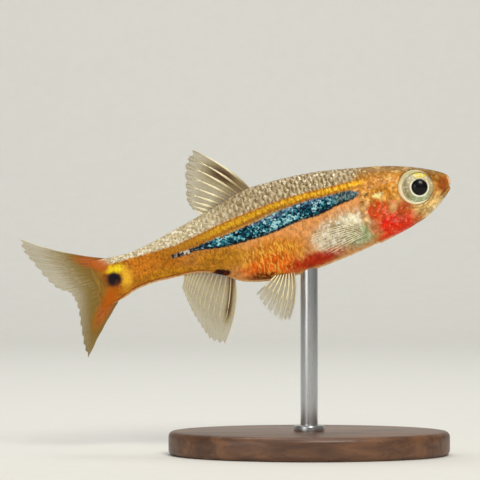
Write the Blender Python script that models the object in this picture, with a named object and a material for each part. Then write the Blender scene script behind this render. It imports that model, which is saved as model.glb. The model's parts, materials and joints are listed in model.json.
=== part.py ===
"""An exclamation-point rasbora, life size, swimming nose-up on a plain display stand.

The fish is set out in its own frame, in millimetres. u runs from the snout back along
the body axis, v runs up, and w runs out to the fish's left. A point (u, w, v) becomes
the vertex (-u, w, v) under the empty fish_axis, which pitches the fish nose-up and
carries it over the stand. The camera side is the fish's right, where w is negative.
"""

import math

import bmesh
import bpy
import numpy as np
from mathutils import Vector

MM = 0.001

# The whole fish: snout to the end of the tail stalk, its pitch and the snout's height
STANDARD_LENGTH = 16.0
PITCH_DEG = 16.0
SNOUT_HEIGHT = 12.6
GAP = 0.25

# The tail swings gently to the fish's left, from the middle of the body back
SWEEP, SWEEP_FROM, SWEEP_TO = 0.8, 9.0, 20.0

# Body loft. Each table gives (u, value), smooth between its rows.
LOFT_LENGTH = 17.2
AROUND, ALONG = 28, 46
SNOUT_LEVEL = 0.08
BACK = (
    (0.0, SNOUT_LEVEL), (0.1, 0.38), (0.4, 0.61), (0.9, 0.88), (1.7, 1.22), (2.8, 1.57),
    (4.2, 1.87), (6.0, 2.18), (8.0, 2.31), (9.3, 2.28), (11.0, 1.85), (12.8, 1.42),
    (14.5, 1.05), (15.4, 0.95), (16.0, 0.99), (17.2, 1.16),
)
BELLY = (
    (0.0, SNOUT_LEVEL), (0.1, -0.21), (0.4, -0.52), (0.9, -0.92), (1.7, -1.31),
    (2.8, -1.6), (4.2, -1.82), (6.0, -2.05), (8.0, -2.18), (9.3, -2.04), (10.5, -1.72),
    (11.3, -1.22), (12.2, -0.86), (13.5, -0.73), (14.8, -0.71), (15.5, -0.82),
    (16.0, -1.0), (17.2, -1.3),
)
HALF_WIDTH = (
    (0.0, 0.0), (0.1, 0.24), (0.4, 0.44), (0.9, 0.64), (1.7, 0.88), (2.8, 1.05),
    (4.2, 1.13), (6.0, 1.12), (8.0, 1.02), (9.3, 0.9), (11.0, 0.68), (12.8, 0.5),
    (14.5, 0.39), (16.0, 0.33), (17.2, 0.3),
)
# How square a section is above and below its widest level: 1 is an ellipse, less is boxier.
SQUARE_ABOVE = ((0.0, 0.95), (1.0, 0.8), (2.5, 0.78), (4.5, 0.9), (17.2, 0.95))
SQUARE_BELOW = ((0.0, 1.0), (2.0, 1.05), (4.5, 0.95), (8.0, 0.95), (10.5, 1.08), (17.2, 1.0))

# Where the body is parted: an arc of (u, v, radius) behind the gills, and the stalk's start
HEAD_ARC = (1.9, -0.3, 2.5)
TAIL_STALK_FROM = 13.0
FAR = 6.0
ARC_STEPS = 25

# Eyes: flattened balls, cut flat at the back
EYE_U, EYE_V, EYE_RADIUS = 1.68, 0.24, 0.79
EYE_OUT, EYE_BULGE, EYE_BACK = 0.63, 0.42, 0.42
EYE_GAP = 0.15

# Gill covers: round in front, a plate from GILL_PLATE_FROM outwards that stands a little proud
GILL_U, GILL_V, GILL_RADIUS = 3.75, -0.38, 0.98
GILL_PLATE_FROM, GILL_SWELL = 0.55, 0.05

# Mouth: a slit from before the snout to its corner, between two lips
MOUTH_TIP, MOUTH_CORNER = (-0.25, 0.03), (0.5, -0.47)
MOUTH_WIDTH, MOUTH_CORNER_SHARE = 0.1, 0.4
LIP_SWELL, LIP_REACH = 0.055, 0.13
NOSTRIL_U, NOSTRIL_V, NOSTRIL_RADIUS, NOSTRIL_DEPTH = 0.74, 0.5, 0.08, 0.14

# Fins: the membrane's half thickness, which thins towards the tips from FIN_THINS_FROM,
# and the ray ridges on it
MEMBRANE_HALF, FIN_TIP_HALF, FIN_THINS_FROM = 0.25, 0.1, 0.65
RAY_RISE, RAY_HALF_SPACING, MEMBRANE_SHORT = 0.07, 0.27, 0.05
DORSAL_BASE, DORSAL_RAYS, DORSAL_CURVE = (9.0, 11.35), 9, 0.055
DORSAL_TIPS = ((11.12, 4.72), (11.62, 4.15), (11.86, 3.25), (11.98, 2.57), (11.82, 2.1))
ANAL_BASE, ANAL_RAYS, ANAL_CURVE = (10.8, 12.95), 10, -0.075
ANAL_TIPS = (
    (12.15, -4.36), (12.69, -4.01), (12.88, -3.3), (13.0, -2.5), (13.12, -1.85), (13.25, -1.32),
)
CAUDAL_RAYS = 8
CAUDAL_UPPER_BASE, CAUDAL_LOWER_BASE = (1.08, 0.12), (-0.2, -1.24)
CAUDAL_UPPER_CURVE, CAUDAL_LOWER_CURVE = -0.04, 0.02
CAUDAL_UPPER_TIPS = (
    (20.0, 3.02), (20.0, 2.45), (19.7, 1.74), (19.35, 0.95), (18.95, 0.3), (18.45, -0.02),
)
CAUDAL_LOWER_TIPS = (
    (18.28, -0.42), (18.26, -1.0), (18.36, -1.8), (18.46, -2.6), (18.42, -3.24),
)
PELVIC_BASE, PELVIC_RAYS, PELVIC_OUT = (8.12, 8.92), 7, 0.36
PELVIC_SPLAY_DEG, PELVIC_CURVE = 20.0, -0.08
PELVIC_TIPS = ((8.97, -4.07), (9.43, -3.9), (9.87, -3.1), (10.03, -2.75))
PECTORAL_ROOT_U, PECTORAL_BASE, PECTORAL_RAYS = 4.66, (-0.7, -1.22), 9
PECTORAL_TIPS = ((7.0, -0.62), (7.15, -0.95), (6.85, -1.35), (6.3, -1.62))
PECTORAL_SPREAD_DEG = 12.0

# Stand: an oval base with eased edges, and one rod up to the belly
BASE_LENGTH, BASE_WIDTH, BASE_THICK, BASE_EDGE = 13.0, 8.6, 1.1, 0.25
BASE_SIDES, BASE_EDGE_STEPS = 48, 3
ROD_U, ROD_RADIUS, ROD_SIDES = 6.8, 0.4, 20

# Colour, roughness and metallic value of each kind of surface
MATERIALS = {
    "skin": ((0.72, 0.42, 0.18), 0.35, 0.1),
    "fin": ((0.75, 0.68, 0.45), 0.4, 0.0),
    "eye": ((0.78, 0.8, 0.62), 0.15, 0.2),
    "walnut": ((0.16, 0.08, 0.04), 0.4, 0.0),
    "steel": ((0.6, 0.61, 0.62), 0.3, 1.0),
}


def clear_scene():
    """Removes whatever the scene starts with."""
    for obj in list(bpy.data.objects):
        bpy.data.objects.remove(obj)


def smooth_value(table, u):
    """The value at u of a table of (u, value) rows, as a curve that is blunt at u = 0."""
    reach = np.sqrt([row[0] for row in table])
    values = np.array([row[1] for row in table])
    slopes = np.gradient(values, reach)
    at = min(math.sqrt(max(u, 0.0)), reach[-1])
    i = min(int(np.searchsorted(reach, at, side="right")) - 1, len(reach) - 2)
    step = reach[i + 1] - reach[i]
    t = (at - reach[i]) / step
    rise = t * t * (3 - 2 * t)
    leave = t * (1 - t) ** 2 * step * slopes[i]
    arrive = t * t * (t - 1) * step * slopes[i + 1]
    return float(values[i] * (1 - rise) + values[i + 1] * rise + leave + arrive)


def along(points, share):
    """The point at a share from 0 to 1 of a smooth curve through a few (u, v) points."""
    spots = np.linspace(0.0, 1.0, len(points))
    found = []
    for values in zip(*points):
        table = tuple((spot * spot, value) for spot, value in zip(spots, values))
        found.append(smooth_value(table, share * share))
    return tuple(found)


def between(ends, share):
    """The value at a share from 0 to 1 of the way between two ends."""
    return ends[0] + share * (ends[1] - ends[0])


def section(u):
    """(middle level, height above it, depth below it, half-width) of the body at u."""
    back, belly = smooth_value(BACK, u), smooth_value(BELLY, u)
    middle = (back + belly) / 2
    return middle, back - middle, middle - belly, max(smooth_value(HALF_WIDTH, u), 0.0)


def flank(u, v):
    """How far out the skin lies from the middle plane at (u, v)."""
    middle, above, below, half_width = section(u)
    height, square = (above, SQUARE_ABOVE) if v > middle else (below, SQUARE_BELOW)
    power = smooth_value(square, u)
    share = min(abs(v - middle) / height, 1.0)
    return half_width * (1 - share ** (2 / power)) ** (power / 2)


def lip_swell(u, v):
    """How far the lips stand out, near the line of the mouth in side view."""
    tip, corner = np.array(MOUTH_TIP), np.array(MOUTH_CORNER)
    line = corner - tip
    share = np.clip(np.dot((u, v) - tip, line) / np.dot(line, line), 0, 1)
    distance = float(np.linalg.norm((u, v) - (tip + share * line)))
    return LIP_SWELL * math.exp(-((distance / LIP_REACH) ** 2))


def skin_point(u, angle, swell):
    """A point on the skin, by its place along the body and its angle round it."""
    middle, above, below, half_width = section(u)
    sine, cosine = math.sin(angle), math.cos(angle)
    height, square = (above, SQUARE_ABOVE) if sine > 0 else (below, SQUARE_BELOW)
    power = smooth_value(square, u)
    w = math.copysign(abs(cosine) ** power, cosine)
    v = math.copysign(abs(sine) ** power, sine)
    level = middle + v * height
    out = swell + lip_swell(u, level)
    return u, w * (half_width + out), level + v * out


def vertex(u, w, v):
    """The fish point (u, w, v) in millimetres as a vertex in metres."""
    return Vector((-u * MM, w * MM, v * MM))


def new_object(name, bm, material=None):
    """Turns a bmesh into a named object, with its faces pointing out."""
    bm.normal_update()
    bmesh.ops.recalc_face_normals(bm, faces=bm.faces)
    mesh = bpy.data.meshes.new(name)
    bm.to_mesh(mesh)
    bm.free()
    obj = bpy.data.objects.new(name, mesh)
    bpy.context.scene.collection.objects.link(obj)
    if material:
        mesh.materials.append(bpy.data.materials[material])
    return obj


def helper(obj):
    """Marks a cutter, which isn't part of the fish."""
    obj.hide_render = True
    obj.display_type = "WIRE"
    return obj


def combine(obj, operation, cutter):
    """Applies one Boolean to obj, and then removes the cutter."""
    modifier = obj.modifiers.new("combine", "BOOLEAN")
    modifier.operation = operation
    modifier.object = cutter
    graph = bpy.context.evaluated_depsgraph_get()
    mesh = bpy.data.meshes.new_from_object(obj.evaluated_get(graph))
    obj.modifiers.clear()
    obj.data = mesh
    bpy.data.objects.remove(cutter)
    return obj


def make_materials():
    """One plain material for each kind of surface."""
    for name, (colour, roughness, metallic) in MATERIALS.items():
        material = bpy.data.materials.new(name)
        material.use_nodes = True
        shader = material.node_tree.nodes["Principled BSDF"]
        shader.inputs["Base Color"].default_value = (*colour, 1.0)
        shader.inputs["Roughness"].default_value = roughness
        shader.inputs["Metallic"].default_value = metallic


def whole_body(name, material=None, swell=0.0):
    """The body in one piece, a sphere drawn out along the fish's sections."""
    bm = bmesh.new()
    bmesh.ops.create_uvsphere(bm, u_segments=AROUND, v_segments=ALONG, radius=1.0)
    poles = {max(bm.verts, key=lambda vert: vert.co.z), min(bm.verts, key=lambda vert: vert.co.z)}
    for vert in bm.verts:
        share = math.acos(max(-1.0, min(1.0, vert.co.z))) / math.pi
        u = LOFT_LENGTH * (1 - math.cos(share * math.pi / 2))
        if vert in poles:
            vert.co = vertex(u - (swell if vert.co.z > 0 else 0.0), 0.0, section(u)[0])
        else:
            vert.co = vertex(*skin_point(u, math.atan2(vert.co.y, vert.co.x), swell))
    return new_object(name, bm, material)


def side_prism(name, outline, inner, outer):
    """A cutter: an outline of (u, v) points in side view, from w = inner to w = outer."""
    bm = bmesh.new()
    face = bm.faces.new([bm.verts.new(vertex(u, inner, v)) for u, v in outline])
    made = bmesh.ops.extrude_face_region(bm, geom=[face], use_keep_orig=True)
    moved = [item for item in made["geom"] if isinstance(item, bmesh.types.BMVert)]
    bmesh.ops.translate(bm, verts=moved, vec=vertex(0.0, outer - inner, 0.0))
    return helper(new_object(name, bm))


def ball(name, centre, radii, segments, rings, material=None):
    """An ellipsoid at (u, w, v), with its three radii in the same order."""
    bm = bmesh.new()
    bmesh.ops.create_uvsphere(bm, u_segments=segments, v_segments=rings, radius=1.0)
    for vert in bm.verts:
        across, up, out = vert.co
        vert.co = vertex(
            centre[0] + across * radii[0], centre[1] + out * radii[1], centre[2] + up * radii[2]
        )
    return new_object(name, bm, material)


def arc(middle_u, middle_v, radius, start_deg, end_deg):
    """Points on an arc in side view. Angle 0 points back along the fish, and 90 up."""
    angles = np.radians(np.linspace(start_deg, end_deg, ARC_STEPS))
    return [(middle_u + radius * math.cos(a), middle_v + radius * math.sin(a)) for a in angles]


def rectangle(start_u, end_u, low_v=-FAR, high_v=FAR):
    """Side view of a rectangle, by default a full-height length of the body."""
    return [(start_u, low_v), (end_u, low_v), (end_u, high_v), (start_u, high_v)]


def head_outline(grow):
    """Side view of what lies ahead of the gill slit, grown by a distance."""
    middle_u, middle_v, radius = HEAD_ARC
    edge = arc(middle_u, middle_v, radius + grow, -90, 90)
    return [*edge, (-FAR, middle_v + radius + grow), (-FAR, middle_v - radius - grow)]


def gill_outline(grow):
    """Side view of a gill cover: round in front, and running back past the gill slit."""
    radius = GILL_RADIUS + grow
    rear = GILL_U + FAR
    return [*arc(GILL_U, GILL_V, radius, 90, 270), (rear, GILL_V - radius), (rear, GILL_V + radius)]


def mouth_outline():
    """Side view of the slit between the lips, narrower at its corner."""
    tip, corner = np.array(MOUTH_TIP), np.array(MOUTH_CORNER)
    line = (corner - tip) / np.linalg.norm(corner - tip)
    half = np.array((-line[1], line[0])) * MOUTH_WIDTH / 2
    end = half * MOUTH_CORNER_SHARE
    return [tuple(tip - half), tuple(corner - end), tuple(corner + end), tuple(tip + half)]


def eye_shape(name, side, grow, back, material=None):
    """A flattened eyeball, grown by a distance and cut flat at its back."""
    radius = EYE_RADIUS + grow
    eye = ball(name, (EYE_U, side * EYE_OUT, EYE_V), (radius, EYE_BULGE + grow, radius), 24, 14, material)
    return combine(eye, "INTERSECT", side_prism("eye_front", rectangle(-FAR, FAR), side * back, side * FAR))


def nostril_pit(side):
    """The cutter for one nostril."""
    centre = (NOSTRIL_U, side * flank(NOSTRIL_U, NOSTRIL_V), NOSTRIL_V)
    return helper(ball("nostril", centre, (NOSTRIL_RADIUS, NOSTRIL_DEPTH, NOSTRIL_RADIUS), 10, 6))


def make_head():
    """The head, with its mouth, nostrils, eye sockets and the seats of its gill covers."""
    head = whole_body("head", "skin")
    combine(head, "INTERSECT", side_prism("ahead_of_gills", head_outline(0.0), -FAR, FAR))
    combine(head, "DIFFERENCE", side_prism("mouth_slit", mouth_outline(), -FAR, FAR))
    for side in (-1, 1):
        inner = side * (GILL_PLATE_FROM - GAP)
        combine(head, "DIFFERENCE", side_prism("gill_seat", gill_outline(GAP), inner, side * FAR))
        combine(head, "DIFFERENCE", eye_shape("eye_socket", side, EYE_GAP, EYE_BACK - GAP))
        combine(head, "DIFFERENCE", nostril_pit(side))
    return head


def make_gill_cover(name, side):
    """One gill cover, a plate that stands a little proud of the cheek."""
    cover = whole_body(name, "skin", GILL_SWELL)
    combine(cover, "INTERSECT", side_prism("ahead_of_gills", head_outline(0.0), -FAR, FAR))
    plate = side_prism("gill_plate", gill_outline(0.0), side * GILL_PLATE_FROM, side * FAR)
    return combine(cover, "INTERSECT", plate)


def make_trunk():
    """The trunk, from the gill slit back to the tail stalk."""
    trunk = whole_body("trunk", "skin")
    combine(trunk, "DIFFERENCE", side_prism("head_space", head_outline(GAP), -FAR, FAR))
    reach = rectangle(0.0, TAIL_STALK_FROM)
    return combine(trunk, "INTERSECT", side_prism("trunk_span", reach, -FAR, FAR))


def make_tail_stalk():
    """The slim stalk between the trunk and the tail fin."""
    stalk = whole_body("tail_stalk", "skin")
    reach = rectangle(TAIL_STALK_FROM + GAP, STANDARD_LENGTH)
    return combine(stalk, "INTERSECT", side_prism("stalk_span", reach, -FAR, FAR))


def blade_half(b):
    """Half the membrane's thickness, at a share b of the way from root to tip."""
    thinned = max(0.0, (b - FIN_THINS_FROM) / (1 - FIN_THINS_FROM))
    return between((MEMBRANE_HALF, FIN_TIP_HALF), thinned)


def fin_blade(name, rays, rows, centre_line, outward):
    """A fin as one closed blade, with a narrow ridge along each ray.

    centre_line(a, b) gives (u, w, v) for ray share a from front to rear and length share
    b from root to tip, and outward is the blade's own direction of thickness. Between two
    ridges lie two columns of membrane, at the feet of the ridges.
    """
    foot_places = (0.0, RAY_HALF_SPACING, 1 - RAY_HALF_SPACING)
    columns = len(foot_places) * (rays - 1) + 1
    bm = bmesh.new()
    bmesh.ops.create_grid(bm, x_segments=columns - 1, y_segments=rows, size=0.5)
    bmesh.ops.triangulate(bm, faces=bm.faces)
    near = list(bm.verts)
    made = bmesh.ops.extrude_face_region(bm, geom=bm.faces[:], use_keep_orig=True)
    far = [item for item in made["geom"] if isinstance(item, bmesh.types.BMVert)]
    for verts, side in ((near, 1), (far, -1)):
        for vert in verts:
            ray, foot = divmod(round((vert.co.x + 0.5) * (columns - 1)), len(foot_places))
            a = (ray + foot_places[foot]) / (rays - 1)
            b = vert.co.y + 0.5
            half = blade_half(b) if foot else blade_half(b) + RAY_RISE
            reach = b * (1 - MEMBRANE_SHORT) if foot else b
            point = Vector(centre_line(a, reach)) + side * half * Vector(outward)
            vert.co = vertex(*point)
    return new_object(name, bm, "fin")


def fan_line(root, tip, bow, b):
    """A point on a ray in side view, bowed sideways by a share of the ray's length."""
    root, tip = np.array(root), np.array(tip)
    reach = tip - root
    across = np.array((-reach[1], reach[0]))
    return root + reach * b + across * bow * 4 * b * (1 - b)


def make_median_fin(name, rays, rows, root, tips, bow):
    """A fin on the middle plane, from a root line and the curve that its ray tips make."""

    def centre_line(a, b):
        u, v = fan_line(root(a), along(tips, a), bow(a), b)
        return u, 0.0, v

    return fin_blade(name, rays, rows, centre_line, (0.0, 1.0, 0.0))


def make_dorsal_fin():
    """The back fin, whose front rays lean back in a bow."""

    def root(a):
        u = between(DORSAL_BASE, a)
        return u, smooth_value(BACK, u) + GAP

    def bow(a):
        return DORSAL_CURVE * (1 - a)

    return make_median_fin("dorsal_fin", DORSAL_RAYS, 7, root, DORSAL_TIPS, bow)


def make_anal_fin():
    """The anal fin, tall in front and low behind."""

    def root(a):
        u = between(ANAL_BASE, a)
        return u, smooth_value(BELLY, u) - GAP

    def bow(a):
        return ANAL_CURVE * (1 - a)

    return make_median_fin("anal_fin", ANAL_RAYS, 7, root, ANAL_TIPS, bow)


def make_caudal_lobe(name, base, tips, outer_curve, outer_share):
    """One lobe of the forked tail fin. Its rays straighten from its outer edge to the fork."""

    def root(a):
        return STANDARD_LENGTH + GAP, between(base, a)

    def bow(a):
        return outer_curve * (1 - abs(a - outer_share))

    return make_median_fin(name, CAUDAL_RAYS, 8, root, tips, bow)


def make_pelvic_fin(name, side):
    """A belly fin, which fans down and back and splays out from its fellow."""
    splay = math.radians(PELVIC_SPLAY_DEG)

    def centre_line(a, b):
        root_u = between(PELVIC_BASE, a)
        root = (root_u, smooth_value(BELLY, root_u) - GAP)
        u, v = fan_line(root, along(PELVIC_TIPS, a), PELVIC_CURVE * (1 - a), b)
        return u, side * (PELVIC_OUT + (root[1] - v) * math.tan(splay)), v

    outward = (0.0, side * math.cos(splay), math.sin(splay))
    return fin_blade(name, PELVIC_RAYS, 6, centre_line, outward)


def make_pectoral_fin(name, side):
    """A breast fin, laid back along the flank and standing a little off it."""
    spread = math.tan(math.radians(PECTORAL_SPREAD_DEG))

    def centre_line(a, b):
        root = (PECTORAL_ROOT_U, between(PECTORAL_BASE, a))
        u, v = fan_line(root, along(PECTORAL_TIPS, a), 0.0, b)
        seat = flank(PECTORAL_ROOT_U, (root[1] + v) / 2) + GAP + MEMBRANE_HALF + RAY_RISE
        return u, side * (seat + (u - PECTORAL_ROOT_U) * spread), v

    return fin_blade(name, PECTORAL_RAYS, 6, centre_line, (0.0, side, 0.0))


def sweep_tail(obj):
    """Curves the fish gently to its left from the middle of the body back."""
    for vert in obj.data.vertices:
        share = (-vert.co.x / MM - SWEEP_FROM) / (SWEEP_TO - SWEEP_FROM)
        vert.co.y += SWEEP * MM * max(0.0, share) ** 2


def smooth_shade(obj, sharp_deg=35.0):
    """Shades a round piece smooth, with its real edges kept sharp."""
    obj.data.shade_smooth()
    obj.data.set_sharp_from_angle(angle=math.radians(sharp_deg))


def set_fish(pieces):
    """Pitches the fish nose-up, and sets the middle of its length over the origin."""
    pitch = math.radians(PITCH_DEG)
    reach = []
    for obj in pieces:
        sweep_tail(obj)
        smooth_shade(obj)
        reach += [v.co.x * math.cos(pitch) - v.co.z * math.sin(pitch) for v in obj.data.vertices]
    axis = bpy.data.objects.new("fish_axis", None)
    bpy.context.scene.collection.objects.link(axis)
    axis.location = (-(min(reach) + max(reach)) / 2, 0.0, SNOUT_HEIGHT * MM)
    axis.rotation_euler = (0.0, -pitch, 0.0)
    for obj in pieces:
        obj.parent = axis
    bpy.context.view_layer.update()
    return axis


def make_stand_base(middle_x):
    """The base: a flat oval under the rod, with its upper edge eased."""
    thick = BASE_THICK * MM
    bm = bmesh.new()
    bmesh.ops.create_cone(
        bm, cap_ends=True, segments=BASE_SIDES, radius1=0.5, radius2=0.5, depth=thick
    )
    bmesh.ops.scale(bm, vec=(BASE_LENGTH * MM, BASE_WIDTH * MM, 1.0), verts=bm.verts)
    bmesh.ops.translate(bm, vec=(middle_x, 0.0, thick / 2), verts=bm.verts)
    top = [edge for edge in bm.edges if all(v.co.z > thick / 2 for v in edge.verts)]
    bmesh.ops.bevel(
        bm, geom=top, offset=BASE_EDGE * MM, affect="EDGES", segments=BASE_EDGE_STEPS,
        profile=0.5, material=-1,
    )
    base = new_object("stand_base", bm, "walnut")
    smooth_shade(base)
    return base


def make_stand_rod(axis, inside):
    """The rod, from just over the base to just under the belly, whose curve its top follows."""
    bottom = (BASE_THICK + GAP) * MM
    radius = ROD_RADIUS * MM
    bm = bmesh.new()
    bmesh.ops.create_cone(
        bm, cap_ends=True, segments=ROD_SIDES, radius1=radius, radius2=radius,
        depth=inside.z - bottom,
    )
    bmesh.ops.translate(bm, vec=(inside.x, 0.0, (inside.z + bottom) / 2), verts=bm.verts)
    rod = new_object("stand_rod", bm, "steel")
    body = helper(whole_body("rod_clearance", swell=GAP))
    body.parent = axis
    bpy.context.view_layer.update()
    combine(rod, "DIFFERENCE", body)
    smooth_shade(rod)
    return rod


def make_fish():
    """Every piece of the fish, in the fish's own frame."""
    pieces = [make_head(), make_trunk(), make_tail_stalk(), make_dorsal_fin(), make_anal_fin()]
    upper = (CAUDAL_UPPER_BASE, CAUDAL_UPPER_TIPS, CAUDAL_UPPER_CURVE, 0.0)
    lower = (CAUDAL_LOWER_BASE, CAUDAL_LOWER_TIPS, CAUDAL_LOWER_CURVE, 1.0)
    pieces.append(make_caudal_lobe("caudal_fin_upper", *upper))
    pieces.append(make_caudal_lobe("caudal_fin_lower", *lower))
    for word, side in (("right", -1), ("left", 1)):
        pieces.append(make_gill_cover("gill_cover_" + word, side))
        pieces.append(eye_shape("eye_" + word, side, 0.0, EYE_BACK, "eye"))
        pieces.append(make_pectoral_fin("pectoral_fin_" + word, side))
        pieces.append(make_pelvic_fin("pelvic_fin_" + word, side))
    return pieces


def main():
    clear_scene()
    make_materials()
    axis = set_fish(make_fish())
    inside_belly = axis.matrix_world @ vertex(ROD_U, 0.0, section(ROD_U)[0])
    make_stand_base(inside_belly.x)
    make_stand_rod(axis, inside_belly)


main()
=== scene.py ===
# %% [markdown]
# # An exclamation point rasbora, dressed
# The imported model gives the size, the place and the plain form of every part of this tiny
# fish. This lesson lays the living surface over it: one seamless skin with its markings,
# overlapping scales, wet eyes, clear fins with branching rays, and a display stand. Every
# size is in millimetres of the real fish, and each step prints what it made.

# %% Load the frame
import json
import math

import bmesh
import bpy
import numpy as np
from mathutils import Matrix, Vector

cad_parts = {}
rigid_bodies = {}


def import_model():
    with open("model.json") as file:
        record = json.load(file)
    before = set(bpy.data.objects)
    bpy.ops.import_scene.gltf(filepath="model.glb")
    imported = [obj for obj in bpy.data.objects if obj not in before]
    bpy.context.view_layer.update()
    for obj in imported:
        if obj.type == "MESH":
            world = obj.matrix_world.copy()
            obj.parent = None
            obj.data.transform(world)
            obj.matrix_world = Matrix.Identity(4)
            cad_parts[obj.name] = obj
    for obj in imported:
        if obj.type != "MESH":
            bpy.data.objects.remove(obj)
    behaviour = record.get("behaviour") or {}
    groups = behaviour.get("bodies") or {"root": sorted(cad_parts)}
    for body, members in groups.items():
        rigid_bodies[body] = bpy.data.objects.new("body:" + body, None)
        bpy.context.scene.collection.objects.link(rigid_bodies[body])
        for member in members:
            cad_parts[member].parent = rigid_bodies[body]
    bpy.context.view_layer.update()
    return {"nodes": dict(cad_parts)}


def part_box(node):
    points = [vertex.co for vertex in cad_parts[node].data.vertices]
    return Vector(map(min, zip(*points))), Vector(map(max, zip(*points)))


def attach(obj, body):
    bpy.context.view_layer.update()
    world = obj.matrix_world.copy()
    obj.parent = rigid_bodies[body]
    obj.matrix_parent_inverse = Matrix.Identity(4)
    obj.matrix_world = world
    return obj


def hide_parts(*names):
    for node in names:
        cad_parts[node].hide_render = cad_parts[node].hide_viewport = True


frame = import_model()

print("nodes in the frame:", len(frame["nodes"]))

# %% [markdown]
# ## The fish's own frame
# A fish is easiest to describe along its own body: u runs back from the snout, v runs up and
# w runs out to its left. The body then swims nose-up by 16 degrees, and its tail swings a
# little to the left. One function carries every point of the fish into the room, so that
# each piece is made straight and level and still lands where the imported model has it.

# %% Body profiles
LENGTH = 16.9
BELLY_U = 8.0
SNOUT_LEVEL = 0.08
BACK = (
    (0.0, SNOUT_LEVEL), (0.1, 0.38), (0.4, 0.61), (0.9, 0.88), (1.7, 1.22), (2.8, 1.57),
    (4.2, 1.87), (6.0, 2.18), (8.0, 2.31), (9.3, 2.28), (11.0, 1.85), (12.8, 1.42),
    (14.5, 1.05), (15.4, 0.95), (16.0, 0.99), (17.2, 1.16),
)
BELLY = (
    (0.0, SNOUT_LEVEL), (0.1, -0.21), (0.4, -0.52), (0.9, -0.92), (1.7, -1.31),
    (2.8, -1.6), (4.2, -1.82), (6.0, -2.05), (8.0, -2.18), (9.3, -2.08), (10.1, -1.91),
    (10.6, -1.72), (11.3, -1.24), (12.2, -0.86), (13.5, -0.73), (14.8, -0.71), (15.5, -0.82),
    (16.0, -1.0), (17.2, -1.3),
)
HALF_WIDTH = (
    (0.0, 0.0), (0.1, 0.24), (0.4, 0.44), (0.9, 0.64), (1.7, 0.88), (2.8, 1.05),
    (4.2, 1.13), (6.0, 1.12), (8.0, 1.02), (9.3, 0.9), (11.0, 0.68), (12.8, 0.5),
    (14.5, 0.39), (15.6, 0.34), (16.2, 0.24), (16.9, 0.05),
)
SQUARE_ABOVE = ((0.0, 0.95), (1.0, 0.8), (2.5, 0.78), (4.5, 0.9), (17.2, 0.95))
SQUARE_BELOW = ((0.0, 1.0), (2.0, 1.05), (4.5, 0.95), (8.0, 0.95), (10.5, 1.08), (17.2, 1.0))


def smooth_value(table, u):
    """A curve through a table's (u, value) rows, blunt at the snout, for one u or many."""
    reach = np.sqrt([row[0] for row in table])
    values = np.array([row[1] for row in table], float)
    slopes = np.gradient(values, reach)
    at = np.clip(np.sqrt(np.maximum(u, 0.0)), reach[0], reach[-1])
    i = np.clip(np.searchsorted(reach, at, side="right") - 1, 0, len(reach) - 2)
    step = reach[i + 1] - reach[i]
    t = (at - reach[i]) / step
    rise = t * t * (3 - 2 * t)
    leave = t * (1 - t) ** 2 * step * slopes[i]
    arrive = t * t * (t - 1) * step * slopes[i + 1]
    return values[i] * (1 - rise) + values[i + 1] * rise + leave + arrive


def section(u):
    """(middle level, height above it, depth below it, half-width) of the body at u."""
    back, belly = smooth_value(BACK, u), smooth_value(BELLY, u)
    middle = (back + belly) / 2
    return middle, back - middle, middle - belly, np.maximum(smooth_value(HALF_WIDTH, u), 0.0)


def ease(value, low, high):
    """0 below low and 1 above high, with a smooth rise between them."""
    share = np.clip((value - low) / (high - low), 0.0, 1.0)
    return share * share * (3 - 2 * share)


def bell(distance, reach):
    """1 at no distance, fading to nothing past the reach."""
    return np.exp(-((distance / reach) ** 2))


print("deepest at the belly, mm:", round(float(2 * section(BELLY_U)[1]), 2))

# %% Stand the fish in the room
MM = 0.001
PITCH = math.radians(16.0)
SNOUT_HEIGHT = 12.6
SWEEP, SWEEP_FROM, SWEEP_TO = 0.8, 9.0, 20.0
ROD_U = 6.8
rod_low, rod_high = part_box("stand_rod")
ROD_X = (rod_low.x + rod_high.x) / 2 / MM
SNOUT_X = ROD_X + ROD_U * math.cos(PITCH) + float(section(ROD_U)[0]) * math.sin(PITCH)


def place(u, w, v):
    """Points (u, w, v) of the fish as (x, y, z) in the room, all in millimetres."""
    swing = SWEEP * np.maximum(0.0, (u - SWEEP_FROM) / (SWEEP_TO - SWEEP_FROM)) ** 2
    x = SNOUT_X - u * math.cos(PITCH) - v * math.sin(PITCH)
    z = SNOUT_HEIGHT - u * math.sin(PITCH) + v * math.cos(PITCH)
    return np.stack(np.broadcast_arrays(x, w + swing, z), axis=-1)


print("snout at x, mm:", round(SNOUT_X, 3))

# %% [markdown]
# ## Evenly round the body
# A body drawn from angles alone crowds its points at the back and the belly. The rows of
# scales and the columns of the skin should be even instead, as they are on the fish. So each
# ring is measured once round its edge, and later steps ask for a share of the way round.

# %% Even shares round each ring
MOUTH_TIP, MOUTH_CORNER = (-0.25, 0.03), (0.5, -0.47)
LIP_SWELL, LIP_REACH = 0.055, 0.13
TAIL_BEND, TAIL_BEND_FROM = 0.3, 15.6


def line_distance(u, v, start, end):
    """How far (u, v) lies from a straight line between two places, in side view."""
    along_u, along_v = end[0] - start[0], end[1] - start[1]
    share = ((u - start[0]) * along_u + (v - start[1]) * along_v) / (along_u**2 + along_v**2)
    share = np.clip(share, 0.0, 1.0)
    return np.hypot(u - start[0] - share * along_u, v - start[1] - share * along_v)


def skin_ring(u, angle):
    """(w, v) on the left side's skin, by an angle from -90 at the belly to 90 at the back."""
    middle, above, below, half_width = section(u)
    sine, cosine = np.sin(angle), np.cos(angle)
    high = sine > 0
    power = np.where(high, smooth_value(SQUARE_ABOVE, u), smooth_value(SQUARE_BELOW, u))
    v = np.copysign(np.abs(sine) ** power, sine)
    level = middle + v * np.where(high, above, below)
    out = LIP_SWELL * bell(line_distance(u, level, MOUTH_TIP, MOUTH_CORNER), LIP_REACH)
    return np.abs(cosine) ** power * (half_width + out), level + v * out


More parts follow.
